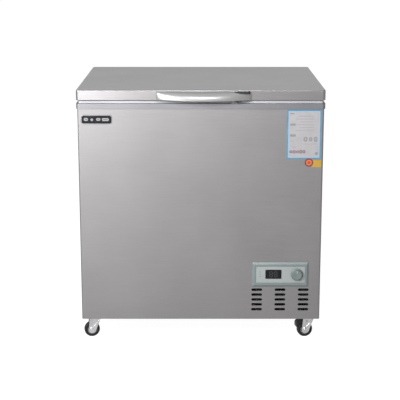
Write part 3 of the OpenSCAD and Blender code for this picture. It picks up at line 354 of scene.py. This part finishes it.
def pad(bm, x, z, w, h, r, back, front, soft=0.3 * MM, slot=0, n=6):
    """Round-cornered plate facing the front, from back to front, with softened edges."""
    r = max(min(r, w / 2 - 1e-5, h / 2 - 1e-5), 2e-5)
    inner = max(r - soft, 1e-5)
    rings = [
        upright(x, z, w, h, r, back, n),
        upright(x, z, w, h, r, front + soft, n),
        upright(
            x, z, w - 0.6 * soft, h - 0.6 * soft, max(r - 0.3 * soft, 1e-5), front + 0.3 * soft, n,
        ),
        upright(x, z, w - 2 * soft, h - 2 * soft, inner, front, n),
    ]
    loft(bm, rings, slot=slot)


def turned(bm, profile, centre, axis, n=64, closed=False, slot=0, radius=None):
    """Solid of revolution; profile holds (radius, height along axis), and radius() can vary the
    radius round the turn."""
    along = Vector(axis).normalized()
    u = along.orthogonal().normalized()
    v = along.cross(u)
    centre = Vector(centre)
    rings = []
    for row, (r, h) in enumerate(profile):
        ring = []
        for k in range(n):
            a = 2 * math.pi * k / n
            reach = radius(row, r, a) if radius else r
            ring.append(centre + along * h + (u * math.cos(a) + v * math.sin(a)) * reach)
        rings.append(ring)
    loft(bm, rings, closed=closed, slot=slot)


def tube(bm, path, r, n=10, slot=0):
    """Round wire along a path of points."""
    path = [Vector(p) for p in path]
    normal = None
    rings = []
    for i, p in enumerate(path):
        ahead = (path[min(i + 1, len(path) - 1)] - path[max(i - 1, 0)]).normalized()
        if normal is None:
            normal = ahead.orthogonal().normalized()
        normal = (normal - ahead * normal.dot(ahead)).normalized()
        other = ahead.cross(normal)
        rings.append(
            [
                p + (normal * math.cos(t) + other * math.sin(t)) * r
                for t in (2 * math.pi * k / n for k in range(n))
            ]
        )
    loft(bm, rings, slot=slot)


def piece(bm, name, body, materials, replaces=(), crease=38):
    """Turns a bmesh into a finished piece that rides on a body."""
    bmesh.ops.recalc_face_normals(bm, faces=bm.faces[:])
    mesh = bpy.data.meshes.new(name)
    bm.to_mesh(mesh)
    bm.free()
    for material in materials:
        mesh.materials.append(material)
    mesh.polygons.foreach_set("use_smooth", [True] * len(mesh.polygons))
    mesh.set_sharp_from_angle(angle=math.radians(crease))
    made = bpy.data.objects.new(name, mesh)
    bpy.context.scene.collection.objects.link(made)
    normals = made.modifiers.new("normals", "WEIGHTED_NORMAL")
    normals.keep_sharp = True
    normals.weight = 100
    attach(made, body)
    if replaces:
        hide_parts(*replaces)
    return made


BODY_OF = {
    node: body
    for body, nodes in frame["record"]["behaviour"]["bodies"].items()
    for node in nodes
}


def softened(node, material, width=0.5, segments=2, sharp=32):
    """A CAD node's shape with its sharp edges rounded by width millimetres."""
    bm = bmesh.new()
    bm.from_mesh(frame["nodes"][node].data)
    bmesh.ops.remove_doubles(bm, verts=bm.verts[:], dist=1e-6)
    bmesh.ops.dissolve_limit(
        bm, angle_limit=math.radians(0.6), verts=bm.verts[:], edges=bm.edges[:],
    )
    edges = [
        e
        for e in bm.edges
        if len(e.link_faces) == 2 and e.calc_face_angle(0) > math.radians(sharp)
    ]
    bmesh.ops.bevel(
        bm, geom=edges, offset=width * MM, segments=segments, profile=0.5, affect="EDGES",
        clamp_overlap=True,
    )
    for face in bm.faces:
        face.material_index = 0
    return piece(bm, node + "_soft", BODY_OF[node], [material], [node])


# ---------------------------------------------------------------- lid


def make_lid_skin():
    top = lid_high.z
    low = lid_low.z
    w, d = LID_W, LID_D
    bend = 2.5 * MM
    corner = 10 * MM
    rings = [plan(w - 30 * MM, d - 30 * MM, 4 * MM, top - 1 * MM)]
    rings.append(plan(w - 8 * MM, d - 8 * MM, 6 * MM, top - 1 * MM))
    rings.append(plan(w - 2 * MM, d - 2 * MM, 9 * MM, top - bend))
    rings.append(plan(w - 2 * MM, d - 2 * MM, 9 * MM, low + 1 * MM))
    rings.append(plan(w - 18 * MM, d - 18 * MM, 3 * MM, low + 1 * MM))
    rings.append(plan(w - 18 * MM, d - 18 * MM, 3 * MM, low))
    for k in range(5):
        a = math.radians(22.5 * k)
        r = 1.6 * MM
        inset = r * (1 - math.sin(a))
        rings.append(
            plan(w - 2 * inset, d - 2 * inset, corner - inset, low + r * (1 - math.cos(a)))
        )
    for k in range(7):
        a = math.radians(15 * k)
        inset = bend * (1 - math.cos(a))
        rings.append(
            plan(w - 2 * inset, d - 2 * inset, corner - inset, top - bend + bend * math.sin(a))
        )
    bm = bmesh.new()
    loft(bm, rings)
    piece(bm, "lid_cap", "lid", [lid_steel_painted_highlight], ["lid_skin"])


def make_gasket():
    low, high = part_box("lid_gasket")
    w, d = high.x - low.x, high.y - low.y
    h = high.z - low.z
    section = [
        (0.0, 0.05), (0.9, 0.16), (1.6, 0.28), (0.5, 0.38), (0.2, 0.5), (0.5, 0.62), (1.6, 0.72),
        (0.4, 0.84), (0.2, 1.0),
    ]
    back = [(15.5, 1.0), (14.6, 0.72), (15.6, 0.5), (14.6, 0.28), (15.6, 0.0), (0.8, 0.0)]
    rings = []
    for inset, up in section + back:
        k = 2 * inset * MM
        rings.append(plan(w - k, d - k, max(5 * MM - inset * MM, 2 * MM), low.z + up * h))
    bm = bmesh.new()
    loft(bm, rings, closed=True)
    piece(bm, "gasket_bellows", "lid", [gasket_grey], ["lid_gasket"], 60)


handle_low, handle_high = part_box("lid_handle")
HANDLE_X = (handle_low.x + handle_high.x) / 2
HANDLE_HALF = (handle_high.x - handle_low.x) / 2
HANDLE_REACH = lid_low.y - handle_low.y
HANDLE_TOP = lid_low.z + 31 * MM
HANDLE_WALL = 3 * MM


def hood_section(t):
    """Section of the hood at t from -1 to 1, as (distance out of the lid, height)."""
    lift = max(1 - t * t, 0)
    r = 7 * MM + (HANDLE_REACH - 7 * MM) * lift**0.75
    low = lid_low.z + 3.5 * MM - 2 * MM * lift**1.2
    top, w = HANDLE_TOP, HANDLE_WALL
    return [
        (0, top), (
            r * 0.28, top - 0.8 * MM,
        ), (r * 0.50, top - 2.4 * MM), (r * 0.70, top - 5.8 * MM),
        (
            r * 0.85, top - 11.5 * MM,
        ), (r * 0.95, top - 19 * MM), (r, low + 2.2 * MM), (r * 0.985, low),
        (
            r * 0.985 - w, low + 0.5 * MM,
        ), (r * 0.95 - w, top - 20 * MM), (r * 0.85 - w, top - 14 * MM),
        (r * 0.68 - w * 0.7, top - 9.5 * MM), (r * 0.25, top - w - 2.5 * MM), (0, top - w - 2 * MM),
    ]


def smooth_closed(points, corners, steps=4):
    """Closed Catmull-Rom curve through points, with straight tangents cut at the corner indices."""
    n = len(points)
    out = []
    for i in range(n):
        a, b = Vector(points[i]), Vector(points[(i + 1) % n])
        before = a if i in corners else Vector(points[i - 1])
        after = b if (i + 1) % n in corners else Vector(points[(i + 2) % n])
        for k in range(steps):
            s = k / steps
            out.append(
                0.5 * (
                    (2 * a) + (b - before) * s + (
                        2 * before - 5 * a + 4 * b - after
                    ) * s * s + (3 * a - before - 3 * b + after) * s**3
                )
            )
    return out


def make_handle():
    stations = 96
    front = lid_low.y
    rings = []
    for i in range(stations + 1):
        t = -math.cos(math.pi * i / stations)
        section = smooth_closed([(p[0], p[1]) for p in hood_section(t)], {0, 7, 8, 13})
        rings.append([(HANDLE_X + t * HANDLE_HALF, front - p[0], p[1]) for p in section])
    bm = bmesh.new()
    loft(bm, rings)
    for side in (-1, 1):
        x = HANDLE_X + side * (HANDLE_HALF - 24 * MM)
        pad(bm, x, lid_low.z + 13.5 * MM, 14 * MM, 11 * MM, 2 * MM, front, front - 12.5 * MM)
    piece(bm, "handle_hood", "lid", [silver_paint], ["lid_handle"], 50)


def make_lock():
    low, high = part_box("lock_housing")
    y = (low.y + high.y) / 2
    x = (low.x + high.x) / 2
    w, d = high.x - low.x, high.y - low.y
    rings = []
    for inset, z in ((0, low.z), (0, high.z - 1.2 * MM), (0.35, high.z - 0.35 * MM), (1.2, high.z)):
        k = 2 * inset * MM
        rings.append([(x + px, y + py, z) for px, py in outline(w - k, d - k, 6 * MM - k / 2)])
    bm = bmesh.new()
    loft(bm, rings)
    piece(bm, "lock_body", "lid", [black_plastic], ["lock_housing"])
    cylinder = softened("lock_cylinder", chrome, 0.3)
    # The cam below the housing gets black metal as painted shade, dark so it sinks into the shadow under the
    # handle hood.
    cylinder.data.materials.append(black_metal)
    for polygon in cylinder.data.polygons:
        if polygon.center.z < low.z:
            polygon.material_index = 1


# ---------------------------------------------------------------- front


def make_badge():
    low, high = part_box("badge_plate")
    x, z = (low.x + high.x) / 2, (low.z + high.z) / 2
    w, h = high.x - low.x, high.z - low.z
    face = BODY_FRONT - 1.6 * MM
    bm = bmesh.new()
    pad(bm, x, z, w, h, 9 * MM, BODY_FRONT, face, 0.7 * MM, 0, 10)
    pad(
        bm, x, z, w - 5 * MM, h - 5 * MM, 7 * MM, BODY_FRONT - 1 * MM, BODY_FRONT - 2.0 * MM,
        0.3 * MM, 1, 10,
    )
    emblem = BODY_FRONT - 2.2 * MM
    for dx, dz, width, height in (
        (-35, 0.5, 14, 10), (-15.5, -0.5, 9, 8), (6, 0.5, 14, 9), (30, 0, 23, 9.5),
    ):
        place = (x + dx * MM, z + dz * MM)
        pad(
            bm, *place, width * MM, height * MM, height * 0.48 * MM, BODY_FRONT - 1.5 * MM, emblem,
            0.15 * MM, 2, 8,
        )
        pad(
            bm, *place, (width - 5.5) * MM, 1.6 * MM, 0.8 * MM, BODY_FRONT - 1.6 * MM,
            emblem - 0.02 * MM, 0.1 * MM, 1, 8,
        )
    piece(
        bm, "badge", "cabinet", [spring_steel, badge_black, mark_silver],
        ["badge_plate"],
    )


def make_labels():
    bm = bmesh.new()
    left, right, bottom, top = 286 * MM, 405 * MM, 646 * MM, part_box("front_labels")[1].z
    x, z = (left + right) / 2, (bottom + top) / 2
    w, h = right - left, top - bottom
    thick = 0.28 * MM
    layer = 0.03 * MM

    def plate(cx, cz, pw, ph, level, slot, r=0.5 * MM):
        pad(
            bm, cx, cz, pw, ph, r, BODY_FRONT, BODY_FRONT - thick - level * layer, 0.01 * MM, slot,
            3,
        )

    plate(x, z, w, h, 0, 0, 2 * MM)
    plate(x, z - 0.5 * MM, w - 13 * MM, h - 12 * MM, 1, 1, 1 * MM)
    plate(x, z - 0.5 * MM, w - 20 * MM, h - 19 * MM, 2, 2, 0.5 * MM)
    for dz, width, height, slot in (
        (-15, 14, 4, 3), (-52, 19, 7, 3), (-89, 20, 8, 3), (-108, 13, 3, 4),
    ):
        plate(
            left + (12 + width / 2) * MM, top + dz * MM, width * MM, height * MM, 3, slot, 1.5 * MM,
        )
    for row, (width, shift) in enumerate(((52, 6), (60, 2), (44, 9), (58, 4), (50, 7), (62, 1))):
        plate(x + shift * MM, top - (24 + 9.5 * row) * MM, width * MM, 3.4 * MM, 3, 4, 1.5 * MM)
    for k, (width, height) in enumerate(((13, 16), (12, 14), (12, 17))):
        cx = x + (5 + 17 * k) * MM
        plate(cx, top - 102 * MM, width * MM, height * MM, 3, 3, 4 * MM)
        plate(cx, top - 102 * MM, (width - 7) * MM, (height - 7) * MM, 4, 4, 2 * MM)
    plate(x + 20 * MM, top - 118 * MM, 46 * MM, 2.6 * MM, 3, 4, 1 * MM)
    for k, height in enumerate((9, 11, 9, 12, 11)):
        plate(left + (16 + 11 * k) * MM, bottom + 26 * MM, 10 * MM, height * MM, 3, 5, 3 * MM)
        plate(left + (16 + 11 * k) * MM, bottom + 26 * MM, 3 * MM, (height - 6) * MM, 4, 4, 1 * MM)
    plate(left + 27 * MM, bottom + 41 * MM, 14 * MM, 4 * MM, 3, 4, 1.5 * MM)
    plate(right - 17 * MM, bottom + 20 * MM, 10 * MM, 10 * MM, 3, 3, 4 * MM)
    dot = (363.7 * MM, 635 * MM)
    plate((dot[0] + 8 * MM + right) / 2, 631.5 * MM, right - dot[0] - 8 * MM, 24 * MM, 0, 9, 1 * MM)
    for r, level, slot in ((14.7, 3, 6), (10.2, 4, 7), (5.0, 5, 8)):
        plate(dot[0], dot[1], 2 * r * MM, 2 * r * MM, level, slot, r * MM)
    parts = [
        label_blue, label_pale, label_paper, label_ink, label_faint, label_plum, sticker_red,
        sticker_orange, sticker_core, sticker_yellow,
    ]
    piece(bm, "labels", "cabinet", parts, ["front_labels"])


def make_controls():
    softened("control_bezel", panel_green, 1.0)
    softened("control_fascia", plate_green, 0.3)
    softened("display_window", gloss_black, 0.5)
    low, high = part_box("display_window")
    x, z = (low.x + high.x) / 2, (low.z + high.z) / 2
    face = low.y
    bm = bmesh.new()
    wide, tall, thin = 9.5 * MM, 9.0 * MM, 2.0 * MM
    for cx in (-8 * MM, 8 * MM):
        for dx, dz, w, h in (
            (0, tall, wide - thin, thin), (0, 0, wide - thin, thin), (0, -tall, wide - thin, thin),
            (-wide / 2, tall / 2, thin, tall - thin), (wide / 2, tall / 2, thin, tall - thin),
            (-wide / 2, -tall / 2, thin, tall - thin), (wide / 2, -tall / 2, thin, tall - thin),
        ):
            pad(
                bm, x + cx + dx, z + dz, w, h, 0.9 * MM, face + 0.2 * MM, face - 0.06 * MM,
                0.03 * MM, 0, 4,
            )
    piece(bm, "display_digits", "cabinet", [digit_grey])
    plate_low, plate_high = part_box("control_fascia")
    knob_low, knob_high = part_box("temp_knob")
    kx = (knob_low.x + knob_high.x) / 2
    kz = (knob_low.z + knob_high.z) / 2
    bm = bmesh.new()
    front = plate_low.y
    for k in range(11):
        a = math.radians(-135 + 27 * k)
        r = 24.2 * MM
        turned(
            bm, [(0.55 * MM, 0), (0.55 * MM, 0.06 * MM)],
            (kx + r * math.sin(a), front + 0.01 * MM, kz + r * math.cos(a)), (0, -1, 0), 12,
        )
    marks_x = (plate_low.x + plate_high.x) / 2 - 70 * MM
    for dz in (8, 0, -8):
        pad(
            bm, marks_x, z + dz * MM, 5 * MM, 2.2 * MM, 1.1 * MM, front + 0.1 * MM,
            front - 0.06 * MM, 0.02 * MM, 0, 4,
        )
    piece(bm, "dial_marks", "cabinet", [mark_dark])


def make_knob():
    low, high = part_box("temp_knob")
    x = (low.x + high.x) / 2
    radius = (high.x - low.x) / 2
    z = low.z + radius
    face = low.y + 0.8 * MM
    back = BODY_FRONT - 4.8 * MM
    depth = back - face
    bm = bmesh.new()
    r, d = radius / MM, depth / MM
    profile = [(3, 0), (r - 0.5, 0), (r, 0.5), (r, 3.0), (r - 0.8, 3.9), (r - 2.6, 4.3)]
    profile += [(r - 3.3, 5.2), (r - 3.9, d - 1.6), (r - 4.4, d - 0.6), (r - 5.4, d)]
    profile += [(r - 8, d - 0.15), (4, d - 0.9), (0.5, d - 1.0)]

    def fluted(row, r, a):
        return r - (0.55 * MM * (0.5 + 0.5 * math.cos(24 * a)) if 6 <= row <= 8 else 0)

    turned(bm, [(a * MM, b * MM) for a, b in profile], (x, back, z), (0, -1, 0), 192, radius=fluted)
    turned(bm, [(3 * MM, 0), (3 * MM, 30 * MM)], (x, BODY_FRONT + 26 * MM, z), (0, -1, 0), 32)
    pad(bm, x, z + 10 * MM, 1.8 * MM, 11 * MM, 0.8 * MM, face + 1.2 * MM, low.y, 0.2 * MM, 1, 4)
    piece(bm, "knob", "knob", [knob_green, mark_pale], ["temp_knob"], 45)


# ---------------------------------------------------------------- casters


def caster_frame(tag):
    """Places of one caster's swivel and wheel, and the axis that the wheel turns on."""
    joints = {j["name"]: j for j in frame["joints"]}
    swivel = Vector(joints["swivel_" + tag]["pos_m"])
    roll = joints["roll_" + tag]
    return swivel, Vector(roll["pos_m"]), Vector(roll["axis"]).normalized()


WHEEL_HALF_WIDTH = 10 * MM
FORK_HALF_WIDTH = 14 * MM


def make_wheel(tag):
    _, centre, axis = caster_frame(tag)
    r = centre.z / MM
    h = WHEEL_HALF_WIDTH / MM
    tread = [(r - 4.2, 0.4 - h), (r - 2.2, 0.8 - h), (r - 0.7, 2.4 - h), (r - 0.1, 4.6 - h)]
    for k in range(-2, 3):
        tread += [(r, k * 2.2 - 0.8), (r - 0.02, k * 2.2 + 0.8)]
    tread += [(p[0], -p[1]) for p in reversed(tread[:4])]
    hub = [
        (17.2, h - 0.5), (16.6, h - 1.2), (16.0, h - 4.4), (8.6, h - 5), (8.0, h - 4.2), (7.4, h),
        (3.1, h),
    ]
    inner = [(p[0], -p[1]) for p in reversed(hub)]
    bm = bmesh.new()
    tyre_side = tread + [(17.2, h - 0.5), (17.2, 0.5 - h)]
    turned(bm, [(a * MM, b * MM) for a, b in tyre_side], centre, axis, 96, closed=True, slot=0)
    turned(bm, [(a * MM, b * MM) for a, b in hub + inner], centre, axis, 96, closed=True, slot=1)
    u = axis.orthogonal().normalized()
    v = axis.cross(u)
    for k in range(6):
        a = math.pi * k / 3
        out = u * math.cos(a) + v * math.sin(a)
        across = axis.cross(out)
        for side in (-1, 1):
            rings = []
            for reach in (7.8, 16.4):
                ring = []
                for s, lift in ((-1.3, 4.6), (1.3, 4.6), (0.9, 8.6), (-0.9, 8.6)):
                    ring.append(
                        centre + out * reach * MM + across * s * MM + axis * side * lift * MM
                    )
                rings.append(ring)
            loft(bm, rings, slot=1)
    piece(
        bm, "wheel_tyre_" + tag, "wheel_" + tag, [tyre, hub_grey],
        ["caster_wheel_" + tag],
    )


def make_fork_ribs(tag):
    """Two pressed ribs down the outer face of each fork leg, and a raised collar round the axle."""
    swivel, centre, axis = caster_frame(tag)
    ahead = axis.cross(Vector((0, 0, 1))).normalized()
    if (centre - Vector((swivel.x, swivel.y, centre.z))).dot(ahead) > 0:
        ahead = -ahead
    bm = bmesh.new()
    face = FORK_HALF_WIDTH
    for side in (-1, 1):
        for top_at, foot_at in ((27, 5), (-2, -4.5)):
            start = Vector((0, 0, 64 * MM)) + ahead * top_at * MM
            end = Vector((0, 0, centre.z + 12 * MM)) + ahead * foot_at * MM
            base = Vector((centre.x, centre.y, 0)) + axis * side * (face - 0.9 * MM)
            points = [base + start.lerp(end, k / 8) for k in range(9)]
            tube(bm, points, 1.7 * MM, 12)
        turned(
            bm, [(9.5 * MM, 0), (9.5 * MM, 0.5 * MM), (9.0 * MM, 0.9 * MM), (6.0 * MM, 0.9 * MM)],
            centre + axis * side * (face - 0.05 * MM), axis * side, 48,
        )
    piece(bm, "fork_ribs_" + tag, "swivel_" + tag, [zinc])


def make_casters():
    for tag in CORNERS:
        make_wheel(tag)
        make_fork_ribs(tag)
        softened("caster_fork_" + tag, zinc, 0.7)
        softened("caster_axle_" + tag, zinc, 0.4)
    for tag in ("fr", "rl"):
        softened("brake_pedal_" + tag, black_plastic, 1.0)
    softened("caster_plates", zinc, 0.5)
    softened("caster_bolts", zinc, 0.4)


# ---------------------------------------------------------------- inside and back


def make_basket():
    low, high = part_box("wire_basket")
    hook = 15 * MM + 2.5 * MM
    x0, x1 = low.x + 2.5 * MM, high.x - 2.5 * MM
    y0, y1 = low.y + hook, high.y - hook
    top = high.z - 2.5 * MM
    base = low.z + 1.5 * MM
    inset = 6 * MM
    drop = 12 * MM
    bm = bmesh.new()
    bend = 14 * MM

    def loop(ax, bx, ay, by, z, r):
        ring = []
        for cx, cy, turn in (
            (bx - bend, by - bend, 0), (ax + bend, by - bend, 90), (ax + bend, ay + bend, 180),
            (bx - bend, ay + bend, 270),
        ):
            for k in range(7):
                a = math.radians(turn + 15 * k)
                ring.append(Vector((cx + bend * math.cos(a), cy + bend * math.sin(a), z)))
        ring.append(ring[0].copy())
        tube(bm, ring, r, 12)

    loop(x0, x1, y0, y1, top - drop, 2.5 * MM)
    for z in (base + 56 * MM, base + 112 * MM):
        k = inset * (1 - (z - base) / (top - drop - base))
        loop(x0 + k, x1 - k, y0 + k, y1 - k, z, 1.5 * MM)
    for side, y in ((-1, y0), (1, y1)):
        rail = y + side * 15 * MM
        tube(bm, [(x0 + 8 * MM, rail, top), (x1 - 8 * MM, rail, top)], 2.5 * MM, 12)
        for x in (x0 + 20 * MM, (x0 + x1) / 2, x1 - 20 * MM):
            path = [(x, y, top - drop), (x, y, top - 3 * MM)]
            path += [
                (x, y + side * 3 * MM * (1 - math.cos(a)), top - 3 * MM + 3 * MM * math.sin(a))
                for a in (0.5, 1.0)
            ]
            path += [(x, y + side * 3 * MM, top), (x, rail, top)]
            tube(bm, path, 2 * MM, 12)

    def cradle(points, r):
        """Wire down one side, along the floor and up the other, with bent corners."""
        a, b, c, d = (Vector(p) for p in points)
        path = [a]
        for before, corner, after in ((a, b, c), (b, c, d)):
            i, o = (before - corner).normalized(), (after - corner).normalized()
            for k in range(6):
                s = k / 5
                path.append(corner + i * 9 * MM * (1 - s) ** 2 + o * 9 * MM * s**2)
        path.append(d)
        tube(bm, path, r, 10)

    for i in range(5):
        x = x0 + inset + i * (x1 - x0 - 2 * inset) / 4
        cradle(
            [
                (x, y0, top - drop), (x, y0 + inset, base), (x, y1 - inset, base),
                (x, y1, top - drop),
            ],
            1.5 * MM,
        )
    for i in range(9):
        y = y0 + inset + i * (y1 - y0 - 2 * inset) / 8
        cradle(
            [
                (x0, y, top - drop), (x0 + inset, y, base + 2.6 * MM),
                (x1 - inset, y, base + 2.6 * MM), (x1, y, top - drop),
            ],
            1.5 * MM,
        )
    piece(bm, "basket_wires", "basket", [white_coat], ["wire_basket"])


HINGE_X = 245 * MM


def make_springs():
    joint = next(j for j in frame["joints"] if j["name"] == "lid_hinge")
    y, z = joint["pos_m"][1], joint["pos_m"][2]
    wire = 1 * MM
    coil_r = 5.7 * MM
    start, span = 4.4 * MM, 14.8 * MM
    turns, steps = 4, 24
    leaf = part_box("hinge_cabinet_leaves")[0].y + 2.5 * MM
    foot = rim_low.z - 36 * MM
    bm = bmesh.new()
    for side in (-1, 1):
        x = side * HINGE_X + start
        path = []
        for i in range(turns * steps + 1):
            a = math.radians(-90 + 360 * i / steps)
            path.append(
                (x + span * i / (turns * steps), y + coil_r * math.cos(a), z + coil_r * math.sin(a))
            )
        end = x + span
        path += [
            (end, y - 3 * MM, z - 7.2 * MM), (end, y - 5 * MM, z - 9.4 * MM),
            (end, leaf + 6 * MM, foot + 14 * MM), (end, leaf + 1.3 * MM, foot),
        ]
        tube(bm, path, wire, 10)
    piece(bm, "springs", "cabinet", [spring_steel], ["hinge_springs"], 60)


def make_shell():
    softened("wrapper", steel, 0.35)
    softened("top_rim", rim_grey, 1.2)
    softened("back_panel", painted_grey, 0.3)
    softened("rear_grille", painted_grey, 0.3)
    softened("lid_liner", white_liner, 1.5, 3)
    softened("hinge_cabinet_leaves", hinge_grey, 0.5)
    softened("hinge_lid_leaves", hinge_grey, 0.5)
    softened("hinge_pins", chrome, 0.4)
    softened("drain_plug", rubber, 0.6)
    softened("cord_gland", black_plastic, 0.6)
    softened("panel_screws", zinc, 0.4)
    softened("lid_screws", zinc, 0.3)
    softened("drain_spout", white_plastic, 0.4)


KEPT = {
    "base_pan": galvanised,
    "bulkhead": galvanised,
    "tub_liner": stucco,
    "body_foam": foam,
    "lid_foam": foam,
    "evaporator_coil": copper,
    "display_board": board_green,
    "thermostat": zinc,
    "compressor_shell": black_paint,
    "compressor_base": black_metal,
    "compressor_grommets": rubber,
    "terminal_cover": black_plastic,
    "condenser": black_metal,
    "fan_shroud": galvanised,
    "fan_motor": black_metal,
    "fan_blade": black_plastic,
    "filter_drier": copper,
    "refrigerant_pipes": copper,
}


def dress_nodes():
    for node, material in KEPT.items():
        held = frame["nodes"][node]
        if not held.material_slots:
            held.data.materials.append(material)
        for place in held.material_slots:
            place.material = material


make_lid_skin()
make_gasket()
make_handle()
make_lock()
make_badge()
make_labels()
make_controls()
make_knob()
make_casters()
make_basket()
make_springs()
make_shell()
dress_nodes()

# ---------------------------------------------------------------- studio

FLOOR_HALF = 60.0
BACKDROP_HEIGHT = 7.0
FLOOR_TONE = 0.10
FLOOR_GLOW = 0.93
WORLD_COLOR = (0.98, 0.98, 1.0, 1)
WORLD_STRENGTH = 0.48

# name: place, target, size, watts
LIGHTS = {
    "key": ((-1.5, -2.3, 1.65), (-0.2, -0.3, 0.8), (0.7, 0.7), 200),
    "low": ((-1.1, -3.6, 0.75), (-0.3, -0.3, 0.7), (0.5, 0.5), 45),
    "front": ((0.0, -2.2, 2.0), (0.0, -0.35, 0.86), (0.35, 0.35), 56),
    "left": ((-3.2, 0.7, 1.5), (-0.4, 0.1, 0.5), (1.8, 1.6), 25),
    "right": ((3.2, 0.7, 1.5), (0.4, 0.1, 0.5), (1.8, 1.6), 25),
    "top": ((0.0, -0.4, 3.2), (0, 0, 0.4), (3.0, 2.4), 30),
    "back": ((0.2, 3.6, 2.4), (0, 0, 0.9), (3.4, 1.6), 14),
}


def make_floor():
    """Glowing white floor with a low backdrop round its far edge."""
    bm = bmesh.new()
    low, high = (
        [
            bm.verts.new((x * FLOOR_HALF, y * FLOOR_HALF, z))
            for x, y in ((-1, -1), (1, -1), (1, 1), (-1, 1))
        ]
        for z in (0, BACKDROP_HEIGHT)
    )
    bm.faces.new(low)
    for k in range(4):
        n = (k + 1) % 4
        bm.faces.new((low[k], low[n], high[n], high[k]))
    mesh = bpy.data.meshes.new("floor")
    bm.to_mesh(mesh)
    bm.free()
    floor = bpy.data.objects.new("floor", mesh)
    bpy.context.scene.collection.objects.link(floor)
    made = bpy.data.materials.new("floor_paper")
    made.use_nodes = True
    shader = made.node_tree.nodes["Principled BSDF"]
    shader.inputs["Base Color"].default_value = (FLOOR_TONE, FLOOR_TONE, FLOOR_TONE, 1)
    shader.inputs["Roughness"].default_value = 0.9
    shader.inputs["Emission Color"].default_value = (1, 1, 1, 1)
    shader.inputs["Emission Strength"].default_value = FLOOR_GLOW
    mesh.materials.append(made)


def area_light(name, place, target, size, watts):
    data = bpy.data.lights.new(name, "AREA")
    data.shape = "RECTANGLE"
    data.size, data.size_y = size
    data.energy = watts
    light = bpy.data.objects.new(name, data)
    light.location = place
    light.rotation_euler = (Vector(target) - Vector(place)).to_track_quat("-Z", "Y").to_euler()
    light.visible_camera = False
    bpy.context.scene.collection.objects.link(light)


def make_studio():
    make_floor()
    world = bpy.data.worlds.new("studio")
    bpy.context.scene.world = world
    world.use_nodes = True
    back = world.node_tree.nodes["Background"]
    back.inputs["Color"].default_value = WORLD_COLOR
    back.inputs["Strength"].default_value = WORLD_STRENGTH
    for name, light in LIGHTS.items():
        area_light(name, *light)
    bpy.context.scene.view_settings.view_transform = "Standard"


make_studio()
